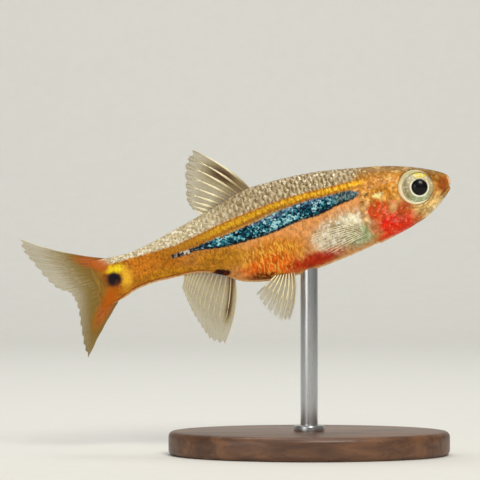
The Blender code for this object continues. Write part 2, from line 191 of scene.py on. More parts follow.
EVEN_ROWS, EVEN_SHARES, FINE_ANGLES, FIRST_ROW = 260, 161, 321, 0.01
even_u = LENGTH * np.linspace(FIRST_ROW, 1.0, EVEN_ROWS) ** 2
fine_angles = np.linspace(-math.pi / 2, math.pi / 2, FINE_ANGLES)
ring_w, ring_v = skin_ring(even_u[:, None], fine_angles[None, :])
ring_steps = np.hypot(np.diff(ring_w), np.diff(ring_v))
ring_reach = np.concatenate([np.zeros((EVEN_ROWS, 1)), np.cumsum(ring_steps, axis=1)], axis=1)
half_girth = ring_reach[:, -1]
shares = np.linspace(0.0, 1.0, EVEN_SHARES)
even_angles = np.array([
    np.interp(shares * reach[-1], reach, fine_angles) for reach in ring_reach
])


def cell_at(share, count):
    """Which cell of a row of values a share falls in, and how far into that cell."""
    spot = np.clip(share * (count - 1), 0, count - 1.001)
    cell = spot.astype(int)
    return cell, spot - cell


def girth_angle(u, share):
    """The angle at a share of the way from the belly to the back."""
    i, s = cell_at((np.sqrt(u / LENGTH) - FIRST_ROW) / (1 - FIRST_ROW), EVEN_ROWS)
    j, t = cell_at(share, EVEN_SHARES)
    near = even_angles[i, j] * (1 - t) + even_angles[i, j + 1] * t
    far = even_angles[i + 1, j] * (1 - t) + even_angles[i + 1, j + 1] * t
    return near * (1 - s) + far * s


def body_point(u, turn):
    """(u, w, v) on the plain body. turn is 0 on the back and 1 or -1 at the belly."""
    turn = (turn + 1) % 2 - 1
    w, v = skin_ring(u, girth_angle(u, 1 - np.abs(turn)))
    middle, above, below, _ = section(u)
    high = (v - middle) / np.maximum(np.where(v > middle, above, below), 1e-6)
    back_bend = TAIL_BEND * high**2 * ease(u, TAIL_BEND_FROM, LENGTH)
    return u + back_bend, np.where(turn < 0, -w, w), v


belly_girth = float(np.interp(BELLY_U, even_u, half_girth))
print("half of the girth at the belly, mm:", round(belly_girth, 2))

# %% [markdown]
# ## Where the markings lie
# The gold line and the blue stripe follow the body, so a flat pattern can't place them.
# Each point of the mesh instead stores how far it lies from those lines. The material turns
# the distances into colour and can roughen their edges, and skin and scales agree because
# both ask the same function.

# %% Fields for the markings
GOLD_LINE = (
    (4.05, 1.14), (5.35, 1.16), (6.66, 1.21), (8.09, 1.19), (9.28, 1.1), (10.43, 0.97),
    (12.02, 0.7), (13.0, 0.53),
)
STRIPE_TOP = (
    (4.2, 0.89), (4.86, 0.93), (5.73, 0.95), (6.73, 0.99), (7.42, 0.94), (8.25, 0.86),
    (9.17, 0.72), (10.2, 0.58), (11.6, 0.44), (12.3, 0.37), (13.3, 0.3),
)
STRIPE_FOOT = (
    (4.2, 0.46), (4.93, 0.44), (5.56, 0.36), (6.28, 0.2), (6.96, 0.19), (7.65, 0.14),
    (8.36, 0.02), (9.04, -0.02), (9.72, -0.03), (10.85, -0.01), (11.5, 0.08), (12.0, 0.17),
    (12.69, 0.15), (13.3, 0.13),
)
FIELDS = ("fish", "bands", "lie", "plate")


def markings(u, w, v, crease_shade=0.0):
    """What the material reads at each point, by the field's name."""
    middle, above, below, _ = section(u)
    from_belly = v - middle + below
    level = from_belly / np.maximum(above + below, 1e-6)
    lines = [v - smooth_value(table, u) for table in (GOLD_LINE, STRIPE_TOP, STRIPE_FOOT)]
    return {
        "fish": np.stack(np.broadcast_arrays(u, w, v), axis=-1),
        "bands": np.stack(np.broadcast_arrays(*lines), axis=-1),
        # lie holds the level, the painted shade in the head's creases, and the height above the
        # belly
        "lie": np.stack(np.broadcast_arrays(level, crease_shade, from_belly), axis=-1),
    }


gold_level = float(smooth_value(GOLD_LINE, BELLY_U))
print("gold line at the middle, mm above the axis:", round(gold_level, 2))

# %% [markdown]
# ## From form to piece
# Each piece starts as a simple bmesh shape, such as a sphere or a grid, whose points are then
# laid along the fish. Working out lists of points and faces by hand would be longer and
# easier to get wrong. A finished form is turned to face outwards, scaled from millimetres to
# metres, and the imported nodes that it stands for are hidden.

# %% Helpers for meshes
def new_form():
    """An empty bmesh with room for the fields."""
    bm = bmesh.new()
    for name in FIELDS:
        bm.verts.layers.float_vector.new(name)
    return bm


def sphere_form(bm, around, rows):
    """Adds a sphere. Gives its points, their share of the way down it, and their angle."""
    verts = bmesh.ops.create_uvsphere(bm, u_segments=around, v_segments=rows, radius=1.0)["verts"]
    co = np.array([vert.co for vert in verts])
    return verts, np.arccos(np.clip(co[:, 2], -1, 1)) / math.pi, np.arctan2(co[:, 1], co[:, 0])


def lay(bm, verts, u, w, v, fields):
    """Moves vertices to points of the fish, and stores each field's value on them."""
    spots = place(u, w, v)
    for vert, spot in zip(verts, spots):
        vert.co = spot
    for name, values in fields.items():
        layer = bm.verts.layers.float_vector[name]
        for vert, value in zip(verts, values):
            vert[layer] = value


def face_outward(bm):
    """Points every face away from the inside, on each closed part of a form."""
    bm.normal_update()
    bmesh.ops.recalc_face_normals(bm, faces=bm.faces)
    if bm.calc_volume(signed=True) < 0:
        bmesh.ops.reverse_faces(bm, faces=bm.faces)
    bm.normal_update()


def finish_piece(name, bm, material, slot, *nodes):
    """Turns a form in millimetres into a smooth piece that stands for the given nodes."""
    face_outward(bm)
    bmesh.ops.scale(bm, vec=(MM, MM, MM), verts=bm.verts)
    mesh = bpy.data.meshes.new(name)
    bm.to_mesh(mesh)
    bm.free()
    mesh.materials.append(material)
    mesh.shade_smooth()
    piece = bpy.data.objects.new(name, mesh)
    bpy.context.scene.collection.objects.link(piece)
    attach(piece, "root")
    if nodes:
        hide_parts(*nodes)
    mesh.calc_loop_triangles()
    print(name, "triangles:", len(mesh.loop_triangles))
    return piece


print("fields that a form can carry:", ", ".join(FIELDS))

# %% [markdown]
# ## Painting with arithmetic
# A material is a graph of nodes, and long formulas are hard to read as boxes and wires. The
# class below wraps one socket, so that 1 - mask or a * b in Python adds the Math node for it.
# Any other node comes from its one method, node. Colours are given as they look on a screen
# and turned into the linear light that shaders count in.

# %% Shader arithmetic
class Wire:
    """One socket of a material, which Python's own arithmetic works on."""

    def __init__(self, tree, socket=None):
        self.tree = tree
        self.socket = socket

    def node(self, kind, settings=None, inputs=None, output=0):
        """Adds a node: its settings first, then the values or links of its sockets."""
        made = self.tree.nodes.new("ShaderNode" + kind)
        for name, value in (settings or {}).items():
            if name == "stops":
                set_stops(made.color_ramp, value)
            else:
                setattr(made, name, value)
        for name, value in (inputs or {}).items():
            if isinstance(value, Wire):
                self.tree.links.new(value.socket, made.inputs[name])
            else:
                made.inputs[name].default_value = value
        return Wire(self.tree, made.outputs[output] if len(made.outputs) else None)

    def other(self, output):
        """Another output of the same node."""
        return Wire(self.tree, self.socket.node.outputs[output])

    def math(self, operation, *values):
        """A Math node on one value or two."""
        return self.node("Math", {"operation": operation}, dict(enumerate(values)))

    def __add__(self, value):
        return self.math("ADD", self, value)

    __radd__ = __add__

    def __sub__(self, value):
        return self.math("SUBTRACT", self, value)

    def __rsub__(self, value):
        return self.math("SUBTRACT", value, self)

    def __mul__(self, value):
        return self.math("MULTIPLY", self, value)

    __rmul__ = __mul__

    def __truediv__(self, value):
        return self.math("DIVIDE", self, value)

    def __abs__(self):
        return self.math("ABSOLUTE", self)


def set_stops(ramp, stops):
    """Gives a colour ramp its stops, each a place and a colour, from low to high."""
    for i, (spot, colour) in enumerate(stops):
        element = ramp.elements[i] if i < 2 else ramp.elements.new(spot)
        element.position = spot
        element.color = tone(*colour)


def tone(red, green, blue):
    """A colour as seen on a screen, from 0 to 1, as linear light with full alpha."""
    seen = (red, green, blue)
    return (*((c / 12.92 if c <= 0.04045 else ((c + 0.055) / 1.055) ** 2.4) for c in seen), 1.0)


def start_material(name):
    """A material with an empty graph, and a wire to begin on."""
    material = bpy.data.materials.new(name)
    material.use_nodes = True
    material.node_tree.nodes.clear()
    return material, Wire(material.node_tree)


def finish_material(material, wire, **sockets):
    """Ends a material's graph in a Principled shader with the given sockets."""
    inputs = {name.replace("_", " "): value for name, value in sockets.items()}
    shader = wire.node("BsdfPrincipled", None, inputs)
    wire.node("OutputMaterial", None, {"Surface": shader})
    print(material.name, "nodes:", len(wire.tree.nodes))
    return material


print("a screen's middle grey in linear light:", round(tone(0.5, 0.5, 0.5)[0], 3))

# %% Brushes that every material uses
def field(wire, name):
    """A field that the mesh stores at each point."""
    return wire.node("Attribute", {"attribute_name": name}, None, "Vector")


def parts(vector):
    """The three numbers of a vector."""
    x = vector.node("SeparateXYZ", None, {0: vector})
    return x, x.other(1), x.other(2)


def rise(value, low, high):
    """0 below low and 1 above high, smoothly. With low above high it falls instead."""
    inputs = {"Value": value, "From Min": low, "From Max": high}
    return value.node("MapRange", {"interpolation_type": "SMOOTHSTEP"}, inputs)


def mixed(share, under, over):
    """One colour over another by a share. Three plain numbers are a colour on a screen."""
    under, over = (tone(*side) if isinstance(side, tuple) else side for side in (under, over))
    return share.node("Mix", {"data_type": "RGBA"}, {0: share, 6: under, 7: over}, 2)


def scaled(vector, by):
    """A vector or a colour made longer or brighter."""
    return vector.node("VectorMath", {"operation": "SCALE"}, {0: vector, "Scale": by})


def coats(colour, *layers):
    """Lays coats on a colour. Each is a share, and a colour or a change of brightness."""
    for share, over in layers:
        over = scaled(colour, over) if isinstance(over, float) else over
        colour = mixed(share, colour, over)
    return colour


def summed(first, second):
    """Two vectors added."""
    return first.node("VectorMath", {"operation": "ADD"}, {0: first, 1: second})


def side_view(vector):
    """The same places with their width left out, as in side view."""
    return vector.node("VectorMath", {"operation": "MULTIPLY"}, {0: vector, 1: (1.0, 0.0, 1.0)})


def cloud(place_wire, size, detail=2.0):
    """Soft noise from 0 to 1, with lumps of about the given size in millimetres."""
    inputs = {"Vector": place_wire, "Scale": 1 / size, "Detail": detail}
    return place_wire.node("TexNoise", None, inputs)


def cells(place_wire, size):
    """Small cells, with one random number from 0 to 1 for each."""
    inputs = {"Vector": place_wire, "Scale": 1 / size}
    return parts(place_wire.node("TexVoronoi", None, inputs, "Color"))[0]


def long_cells(place_wire, u, w, v):
    """Cells of the given length, width and height along the fish's own directions."""
    inputs = {"Vector": place_wire, "Scale": (1 / u, 1 / w, 1 / v)}
    return cells(place_wire.node("Mapping", None, inputs), 1.0)


def oval(flat, middle, reach, turn=0.0, soft=0.35):
    """1 inside an oval in side view and 0 outside it, with a soft edge."""
    inputs = {
        "Vector": flat, "Location": (middle[0], 0.0, middle[1]),
        "Rotation": (0.0, math.radians(-turn), 0.0), "Scale": (reach[0], 1.0, reach[1]),
    }
    local = flat.node("Mapping", {"vector_type": "TEXTURE"}, inputs)
    away = flat.node("VectorMath", {"operation": "LENGTH"}, {0: local}, "Value")
    return rise(away, 1 + soft, 1 - soft)


def patched(ground, flat, patches):
    """Paints soft patches over a ground colour, in order."""
    for *shape, colour, strength in patches:
        ground = mixed(oval(flat, *shape) * strength, ground, colour)
    return ground


print("brushes:", ", ".join(brush.__name__ for brush in (rise, mixed, coats, cloud, cells, oval)))

# %% [markdown]
# ## The skin's colours
# In life the flank is a stack of thin layers: red and orange fat, black pigment cells, and
# mirror cells that glitter. One flat picture would blur this close, so the material lays its
# colours in the fish's own order, a few cells at a time. Soft ovals, placed where the photo
# shows each patch, give the warm ground, and their edges wander with noise.

# %% Palette, as seen on a screen
BACK_TAN, BACK_GREY = (0.6, 0.52, 0.37), (0.75, 0.67, 0.54)
BACK_DARK, BACK_PALE = (0.3, 0.24, 0.11), (0.88, 0.82, 0.66)
GOLD, GOLD_GLOW, GOLD_EDGE = (0.82, 0.6, 0.1), (0.98, 0.8, 0.3), (0.64, 0.42, 0.14)
PEACH, ORANGE_TAN, STALK_BROWN = (0.86, 0.59, 0.34), (0.8, 0.55, 0.25), (0.7, 0.43, 0.08)
FIN_ROOT, FIN_OLIVE, FIN_DARK = (0.47, 0.34, 0.1), (0.56, 0.49, 0.08), (0.34, 0.21, 0.06)
FLECK_BROWN, SPOT_BLACK, PUPIL_BLACK = (0.4, 0.2, 0.08), (0.1, 0.07, 0.1), (0.02, 0.015, 0.03)
print("orange tan in linear light:", [round(value, 2) for value in tone(*ORANGE_TAN)[:3]])

# %% Noise and cells that the skin's layers share
LOOSE_BY, CALM_BY = 0.34, 0.08
skin_material, skin_wire = start_material("skin")
fish = field(skin_wire, "fish")
u, w, v = parts(fish)
to_gold, to_top, to_foot = parts(field(skin_wire, "bands"))
level, crease_shade, from_belly = parts(field(skin_wire, "lie"))
plate_x, plate_y, plate_luck = parts(field(skin_wire, "plate"))

drift = cloud(fish, 0.3, 3.0).other("Color")
centred = drift.node("VectorMath", {"operation": "SUBTRACT"}, {0: drift, 1: (0.5, 0.5, 0.5)})
loose = summed(fish, scaled(centred, LOOSE_BY))
flat = side_view(loose)
fine, clump = cloud(fish, 0.07), cloud(fish, 0.2)
tiny, small = cells(fish, 0.055), cells(fish, 0.09)
upright = long_cells(loose, 0.055, 0.12, 0.24)
weave = long_cells(loose, 0.05, 0.1, 0.17)
print("nodes for fields and noise:", len(skin_wire.tree.nodes))

# %% Warm ground of the flank and the stalk
# Each patch: middle and reach in (u, v), turn in degrees, softness, colour and strength
BODY_PATCHES = (
    ((7.5, -0.35), (1.7, 0.5), 0, 0.6, PEACH, 0.9),
    ((5.45, -0.82), (1.4, 0.74), -8, 0.6, (0.68, 0.63, 0.5), 0.95),
    ((6.3, -0.95), (0.5, 0.45), 0, 0.7, (0.86, 0.8, 0.7), 0.8),
    ((4.6, -1.2), (0.75, 0.42), -8, 0.5, (0.6, 0.66, 0.46), 0.9),
    # A painted reflection: the near-white streak at the top of the silver patch
    ((4.95, -0.42), (0.5, 0.26), 20, 0.6, (0.96, 0.93, 0.8), 0.9),
    ((8.6, -0.85), (1.3, 0.65), 5, 0.5, (0.8, 0.47, 0.07), 0.9),
    ((9.1, -1.45), (1.35, 0.5), 8, 0.4, (0.88, 0.38, 0.05), 0.95),
    ((7.1, -1.72), (1.3, 0.3), -3, 0.45, (0.7, 0.13, 0.02), 0.95),
    ((9.3, -1.88), (0.9, 0.2), 14, 0.45, (0.32, 0.08, 0.02), 0.9),
    ((11.1, -0.5), (1.4, 0.6), 10, 0.5, (0.72, 0.48, 0.04), 0.9),
    ((13.3, -0.62), (1.9, 0.3), 12, 0.5, (0.76, 0.52, 0.08), 0.85),
    ((15.0, 0.2), (0.9, 0.55), 0, 0.6, (0.82, 0.49, 0.12), 0.6),
)
STREAKED = ((8.9, -1.1), (1.5, 0.8), 5, 0.4)
SILVERED = ((5.3, -0.8), (1.25, 0.75), -8, 0.6)
vein = rise(abs(cloud(loose, 0.3, 4.0) - 0.5), 0.035, 0.008) * rise(u, 9.8, 11.2)
dotted = 0.4 - rise(u, 11.5, 13.0) * rise(v, 0.25, -0.15) * 0.32
ground = coats(
    patched(mixed(rise(u, 11.0, 13.5), PEACH, STALK_BROWN), flat, BODY_PATCHES),
    (rise(clump, 0.51, 0.64) * 0.6, 1.35),
    (rise(clump, 0.47, 0.35) * 0.6, 0.64),
    (vein * 0.5, (0.46, 0.22, 0.04)),
    (rise(weave, 0.55, 1.0) * 0.35, 1.3),
    (rise(weave, 0.35, 0.0) * dotted, 0.68),
)
streaks = coats(
    ground,
    (rise(upright, 0.55, 0.85), (0.97, 0.76, 0.3)),
    (rise(upright, 0.3, 0.1), (0.66, 0.28, 0.05)),
)
silver = oval(flat, *SILVERED)
ground = coats(
    ground,
    (oval(flat, *STREAKED) * 0.62, streaks),
    # Painted reflections: near-white glints of the mirror cells in the silver patch
    (silver * rise(small + clump, 1.05, 1.4) * 0.8, (0.97, 0.97, 0.92)),
    (silver * rise(small, 0.2, 0.1) * 0.3, (0.5, 0.5, 0.38)),
)
print("patches on the flank:", len(BODY_PATCHES))

# %% [markdown]
# ## The back and the head
# The back is grey-beige, and each scale there has a paler middle and a darker rear edge,
# painted stronger as a highlight on the middle and as shade along the edge. A plain noise
# would miss that order, so the layers read each scale's own coordinates. The head has no
# scales: it is warm tan skin with a red cheek, dappled and freckled.

# %% Grey back, with a painted highlight and painted shade on each scale
# Each scale's paler middle gets a painted highlight, and its darker rear edge painted shade
scale_highlight = rise(abs(plate_x - 0.3), 0.35, 0.1) * rise(abs(plate_y), 1.0, 0.5)
scale_edge_shade = rise(plate_x, 0.5, 0.72) * rise(abs(plate_y) + (upright - 0.5) * 0.6, 1.0, 0.6)
to_stalk = rise(u, 9.5, 12.0)
back = coats(
    mixed(rise(clump, 0.35, 0.65), BACK_TAN, BACK_GREY),
    (rise(plate_luck, 0.5, 1.0) * 0.45, 0.74),
    (scale_highlight * rise(upright, 0.3, 0.9) * 0.75, BACK_PALE),
    (scale_edge_shade * (0.12 + 0.3 * rise(u, 11.0, 7.0)), BACK_DARK),
    (rise(upright, 0.3, 0.05) * rise(u, 10.5, 7.5) * 0.4, BACK_DARK),
    (rise(u, 9.5, 12.5) * 0.6, (0.84, 0.78, 0.62)),
    # Painted glints: the near-white specks towards the stalk, and the tiny ones all along the back
    # two lines down; the grey specks between are the back's own
    (to_stalk * rise(small, 0.68, 0.9) * 0.7, (0.98, 0.95, 0.86)),
    (to_stalk * rise(small, 0.24, 0.08) * 0.5, (0.5, 0.45, 0.34)),
    (rise(tiny, 0.9, 0.96) * 0.7, (0.97, 0.95, 0.84)),
)
back_share = rise(to_gold + (fine - 0.5) * 0.14, 0.1, 0.22)
body = mixed(back_share, ground, back)
print("nodes up to the back:", len(skin_wire.tree.nodes))

# %% Dappled head with its red cheek
HEAD_PATCHES = (
    ((3.1, 0.75), (1.2, 0.75), 0, 0.5, (0.82, 0.53, 0.14), 0.9),
    ((1.45, 1.08), (0.7, 0.1), 8, 0.6, (0.82, 0.68, 0.44), 0.8),
    ((0.75, 0.5), (0.5, 0.24), 30, 0.6, (0.58, 0.37, 0.11), 0.85),
    ((0.62, -0.62), (0.45, 0.18), -36, 0.6, (0.6, 0.43, 0.16), 0.85),
    ((1.6, -0.9), (1.0, 0.42), -24, 0.45, (0.97, 0.83, 0.54), 0.9),
    # The lower jaw's pale edge, brightened as a painted highlight
    ((1.1, -0.97), (0.7, 0.12), -26, 0.7, (1.0, 0.93, 0.74), 0.75),
    ((4.14, -0.55), (0.24, 0.7), 6, 0.7, (0.88, 0.76, 0.58), 0.85),
    ((2.05, -1.25), (0.5, 0.22), -24, 0.5, (0.8, 0.44, 0.18), 0.8),
    ((3.6, -0.85), (0.5, 0.42), 0, 0.5, (0.8, 0.38, 0.2), 0.85),
    ((3.68, -0.28), (0.54, 0.44), -10, 0.3, (0.82, 0.27, 0.07), 1.0),
    ((2.95, -1.02), (0.88, 0.48), -10, 0.3, (0.88, 0.14, 0.06), 1.0),
    # The next two pink spots on the red are painted highlights
    ((2.62, -0.92), (0.3, 0.14), 12, 0.6, (0.95, 0.36, 0.3), 0.6),
    ((3.02, -1.02), (0.12, 0.1), 0, 0.6, (0.97, 0.5, 0.44), 0.6),
    ((3.05, -1.5), (1.05, 0.34), -14, 0.4, (0.93, 0.18, 0.0), 1.0),
    ((2.45, -0.55), (0.5, 0.32), -35, 0.5, (0.72, 0.3, 0.08), 0.85),
    ((2.93, -0.38), (0.15, 0.24), 25, 0.6, (0.84, 0.62, 0.42), 0.85),
    ((3.5, 0.36), (0.24, 0.09), 0, 0.5, (0.97, 0.92, 0.62), 0.95),
    # A painted shadow at the lower rear edge of the gill cover
    ((3.98, -1.12), (0.2, 0.28), 0, 0.6, (0.66, 0.38, 0.2), 0.7),
    ((0.45, 0.0), (0.26, 0.34), 10, 0.5, (0.58, 0.27, 0.07), 0.95),
    # The pale lip at the snout's tip, brightened as a painted highlight
    ((0.04, 0.06), (0.1, 0.26), 0, 0.5, (0.92, 0.78, 0.66), 0.9),
)
RED_CHEEK = ((3.15, -0.9), (1.15, 0.9), -10, 0.3)
# The gill cover's rear edge is an arc: its middle's u and v, and its radius
GILL_ARC = (1.9, -0.3, 2.5)
crown = rise(level + (clump - 0.5) * 0.2, 0.8, 0.98)
redness = oval(flat, *RED_CHEEK)
plain = (1 - redness * 0.85) * rise(u, 0.3, 1.4)
dapple = cloud(loose, 0.36, 4.0)
freckle = cells(fish, 0.065)
head = coats(
    patched(mixed(rise(v, 0.9, 1.2), ORANGE_TAN, (0.72, 0.5, 0.24)), flat, HEAD_PATCHES),
    (crown * 0.9, (0.5, 0.385, 0.2)),
    (rise(dapple, 0.5, 0.4) * plain * 0.55, (0.58, 0.38, 0.1)),
    (rise(dapple, 0.52, 0.62) * plain * 0.5, (0.96, 0.8, 0.48)),
    (rise(clump, 0.51, 0.64) * 0.6, 1.3),
    (rise(clump, 0.48, 0.36) * 0.6, 0.66),
    (rise(small, 0.3, 0.0) * 0.4, 0.65),
    (rise(upright, 0.65, 1.0) * 0.5, 1.35),
    (rise(upright, 0.35, 0.0) * 0.6, 0.66),
    (rise(freckle, 0.84, 1.0) * plain * 0.4, (0.95, 0.82, 0.55)),
    (rise(freckle, 0.14, 0.04) * plain * 0.5, (0.5, 0.28, 0.1)),
    # Painted highlights: pink glints scattered on the red cheek
    (redness * rise(small + clump * 0.6, 1.14, 1.22) * 0.5, (0.98, 0.52, 0.44)),
)
arc_middle = (GILL_ARC[0], 0.0, GILL_ARC[1])
gill_edge = flat.node("VectorMath", {"operation": "DISTANCE"}, {0: flat, 1: arc_middle}, "Value")
nape = rise(v, 0.5, 1.2)
head_share = rise(gill_edge - nape * (clump + small * 0.5 - 0.25) * 0.8, 2.66, 2.38)
colour = mixed(head_share, body, head)
print("patches on the head:", len(HEAD_PATCHES))

# %% [markdown]
# ## The gold line and the blue stripe
# The line that names this fish is dark skin crowded with mirror cells, blue-green in the
# light, under a band of gold. An even blue would look printed. Small random cells pass
# through a ramp from near black to pale blue instead, and slower noise gathers them.

# %% Gold line
lined = rise(u, 3.75, 4.15) * rise(u, 14.4, 12.4)
ragged_edge = (fine - 0.5) * 0.1
sag = rise(u, 8.2, 9.6) * rise(u, 12.8, 11.4) * 0.06
gold_share = rise(abs(to_gold + 0.04 + sag) + ragged_edge - sag * 0.6, 0.26, 0.15) * lined
core = abs(to_gold + sag) + (small - 0.5) * 0.08 + (clump - 0.5) * 0.12 - sag * 0.4
core = rise(core, 0.17, 0.03)
gold = coats(
    mixed(core, GOLD_EDGE, GOLD),
    (core * rise(tiny, 0.6, 0.95) * rise(clump, 0.35, 0.6), GOLD_GLOW),
    (rise(u, 10.4, 12.6) * 0.75, (0.66, 0.43, 0.12)),
)
under_gold = rise(to_gold, 0.0, -0.1) * rise(to_top, -0.1, 0.0)
under_gold = under_gold * rise(u, 13.6, 12.4) * rise(u, 4.2, 4.8)
dusk = mixed(rise(small, 0.3, 0.7), (0.46, 0.42, 0.31), (0.72, 0.64, 0.46))
dusk = mixed(rise(u, 8.8, 10.2) * 0.75, dusk, (0.78, 0.53, 0.13))
colour = coats(colour, (under_gold * 0.85, dusk), (gold_share, gold))
print("nodes up to the gold line:", len(skin_wire.tree.nodes))

# %% Glittering stripe
STRIPE_STOPS = (
    (0.0, (0.02, 0.06, 0.11)), (0.3, (0.05, 0.18, 0.27)), (0.5, (0.09, 0.37, 0.44)),
    (0.68, (0.27, 0.61, 0.66)), (0.9, (0.68, 0.87, 0.9)),
)
PALE_FLECK = ((12.66, 0.25), (0.2, 0.09), 0, 0.5)
DARK_SPECKS = ((4.12, 0.5), (0.3, 0.45), 0, 0.5)
wander = ragged_edge + (clump - 0.5) * 0.16
blunt = rise(u, 5.0, 4.1)
blunt = blunt * blunt * 0.2
stripe_share = (
    rise(to_top + wander + blunt, 0.04, -0.04) * rise(to_foot + wander - blunt, -0.04, 0.04)
    * rise(u + (clump - 0.5) * 0.5, 4.16, 4.34) * rise(u, 13.45, 13.3)
)
across = to_foot / (to_foot - to_top + 0.001)
brighter = rise(u, 6.9, 7.7) * rise(u, 9.2, 8.5) * 1.3
brighter = brighter - rise(u, 9.2, 9.8) * rise(u, 10.9, 10.3) * 1.5
sparkle = cells(fish, 0.08) * 0.95 + cloud(fish, 0.32) * 1.2 + brighter * 0.13 - 0.61
violet = rise(across + (clump - 0.5) * 1.8, 0.7, 1.0) * rise(u, 10.0, 8.5)
front_grey = mixed(rise(tiny, 0.6, 0.95), (0.14, 0.17, 0.16), (0.5, 0.52, 0.45))
rear_grey = mixed(rise(small, 0.6, 0.85), (0.15, 0.11, 0.13), (0.62, 0.58, 0.54))
stripe = coats(
    sparkle.node("ValToRGB", {"stops": STRIPE_STOPS}, {0: sparkle}),
    (violet * rise(tiny, 0.9, 0.4) * 0.7, (0.4, 0.4, 0.56)),
    (rise(u, 6.0, 5.0) * 0.72, front_grey),
    (rise(across + ragged_edge, 0.24, 0.08) * 0.85, (0.1, 0.07, 0.07)),
    (rise(u, 11.3, 12.2) * rise(tiny, 0.85, 0.6) * 0.85, (0.13, 0.1, 0.13)),
    (rise(u, 12.0, 12.7), rear_grey),
    (oval(flat, *PALE_FLECK) * rise(small, 0.3, 0.5), (0.84, 0.82, 0.76)),
)
specks = oval(flat, *DARK_SPECKS) * rise(small, 0.24, 0.12)
colour = coats(colour, (stripe_share, stripe), (specks * 0.75, (0.26, 0.15, 0.08)))
print("nodes up to the stripe:", len(skin_wire.tree.nodes))

# %% [markdown]
# ## Belly edge, tail spot and painted shade in the creases
# Light passes through the thin keel of the belly and makes a bright rim there. A black spot
# in a yellow ring marks the root of the tail fin, and a smaller dark one the root of the
# anal fin. They are laid last, because on the fish too they cover what lies under them.
# The head's creases get their painted shade at the very end.

# %% Edges and spots
# The first patches run on over the tail fin's two lobes, the others stay on the stalk
LOBE_PATCHES = (
    ((17.0, 0.99), (0.8, 0.24), 30, 0.7, (0.72, 0.36, 0.08), 0.85),
    ((16.95, -1.15), (0.98, 0.27), -46, 0.65, (0.7, 0.35, 0.02), 0.9),
)
TAIL_PATCHES = (
    ((16.02, 0.4), (0.38, 0.22), 0, 0.5, (0.98, 0.86, 0.12), 0.95),
    ((15.64, -0.1), (0.24, 0.44), 8, 0.8, (0.96, 0.74, 0.2), 0.85),
    ((16.5, -0.05), (0.26, 0.34), 0, 0.6, (0.42, 0.22, 0.1), 0.8),
)
TAIL_SPOT = ((16.19, -0.05), (0.33, 0.33), 0, 0.3)
ANAL_SPOT = ((11.36, -1.12), (0.45, 0.16), 14, 0.25)
under_rim = rise(from_belly, 0.18, 0.11) * rise(u, 11.5, 12.0)
keel = rise(abs(w), 0.3, 0.1) * rise(weave, 0.3, 0.7)
rim_tone = mixed(rise(clump, 0.3, 0.6), (0.88, 0.6, 0.32), (1.0, 0.86, 0.6))
rim_tone = mixed(keel * 0.6, rim_tone, (0.84, 0.56, 0.36))
rim = rise(from_belly + (fine - 0.5) * 0.07 + (clump - 0.5) * 0.12, 0.12, 0.03)
rim = rim * rise(u, 2.8, 3.6)
colour = coats(colour, (under_rim * 0.7, (0.5, 0.18, 0.06)), (rim, rim_tone))

calm = side_view(summed(fish, scaled(centred, CALM_BY)))
tail_reach = u - abs(v + 0.05) * 0.3
tail_end = rise(tail_reach + (clump - 0.5) * 0.3, 16.5, 16.8)
colour = coats(
    patched(colour, flat, LOBE_PATCHES + TAIL_PATCHES),
    (oval(calm, *TAIL_SPOT), SPOT_BLACK),
    (tail_end * 0.9, (0.55, 0.41, 0.15)),
)
maroon = mixed(rise(small, 0.3, 0.7), (0.12, 0.04, 0.03), (0.36, 0.12, 0.05))
colour = coats(
    patched(colour, flat, LOBE_PATCHES),
    # Painted light: the skin's end cap faces away from the light, and is lightened against its
    # shade
    (rise(tail_reach, 16.8, 17.0) * 0.6, (0.78, 0.64, 0.32)),
    (tail_end * rise(upright, 0.4, 0.1) * 0.4, FLECK_BROWN),
    (oval(flat, *ANAL_SPOT), maroon),
    # Painted shade in the creases of the head: mouth, nostrils, grooves and round the eye
    (crease_shade * 0.6, FLECK_BROWN),
)
print("patches on the tail:", len(LOBE_PATCHES + TAIL_PATCHES))

# %% Shine and fine relief of the skin
BUMP_DEPTH = 0.00002
glint = rise(tiny, 0.82, 0.95)
shine = stripe_share * (0.35 + 0.5 * glint) + gold_share * 0.3 + back_share * glint * 0.5
height = fine * 0.5 + small * 0.5
bumpy = {"Height": height, "Strength": 0.25, "Distance": BUMP_DEPTH}
finish_material(
    skin_material, skin_wire, Base_Color=colour, Roughness=0.4 - stripe_share * 0.12 + fine * 0.1,
    Metallic=shine, Normal=height.node("Bump", None, bumpy), Specular_IOR_Level=0.07,
    Coat_Weight=0.08, Coat_Roughness=0.12,
)

# %% [markdown]
# ## One skin from snout to tail
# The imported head, gill covers, trunk and stalk are parted so that each is a named solid. A
# living fish shows no such seams. Cutting and smoothing the solids would keep their facets,
# so the skin is drawn anew from the same profiles: a sphere whose rings are laid along the
# body, closest together on the head. Its features are then pushed in or out: the sockets of
# the eyes, the line of the mouth, nostrils, the gill cover's plate and the crease behind it.

# %% Rings along the body
HEAD_STEP, BODY_STEP, SNOUT_ROUND, HEAD_END, STEP_FADE = 0.033, 0.085, 0.25, 4.6, 2.0
AROUND, MEASURES = 216, 6000


def ring_places():
    """Places along the body for the rings, close together on the head."""
    s = np.linspace(0.0, 1.0, MEASURES)
    u = LENGTH * s**2
    step = np.interp(u, (HEAD_END, HEAD_END + STEP_FADE), (HEAD_STEP, BODY_STEP))
    per_mm = 2 * LENGTH * s / (step * np.sqrt(np.clip(u / SNOUT_ROUND, 1e-9, 1.0)))
    per_mm[0] = per_mm[1]
    count = np.concatenate([[0.0], np.cumsum((per_mm[1:] + per_mm[:-1]) / 2 * np.diff(s))])
    return np.interp(np.arange(int(count[-1]) + 1) * count[-1] / int(count[-1]), count, u)


rings = ring_places()
print("rings along the body:", len(rings))

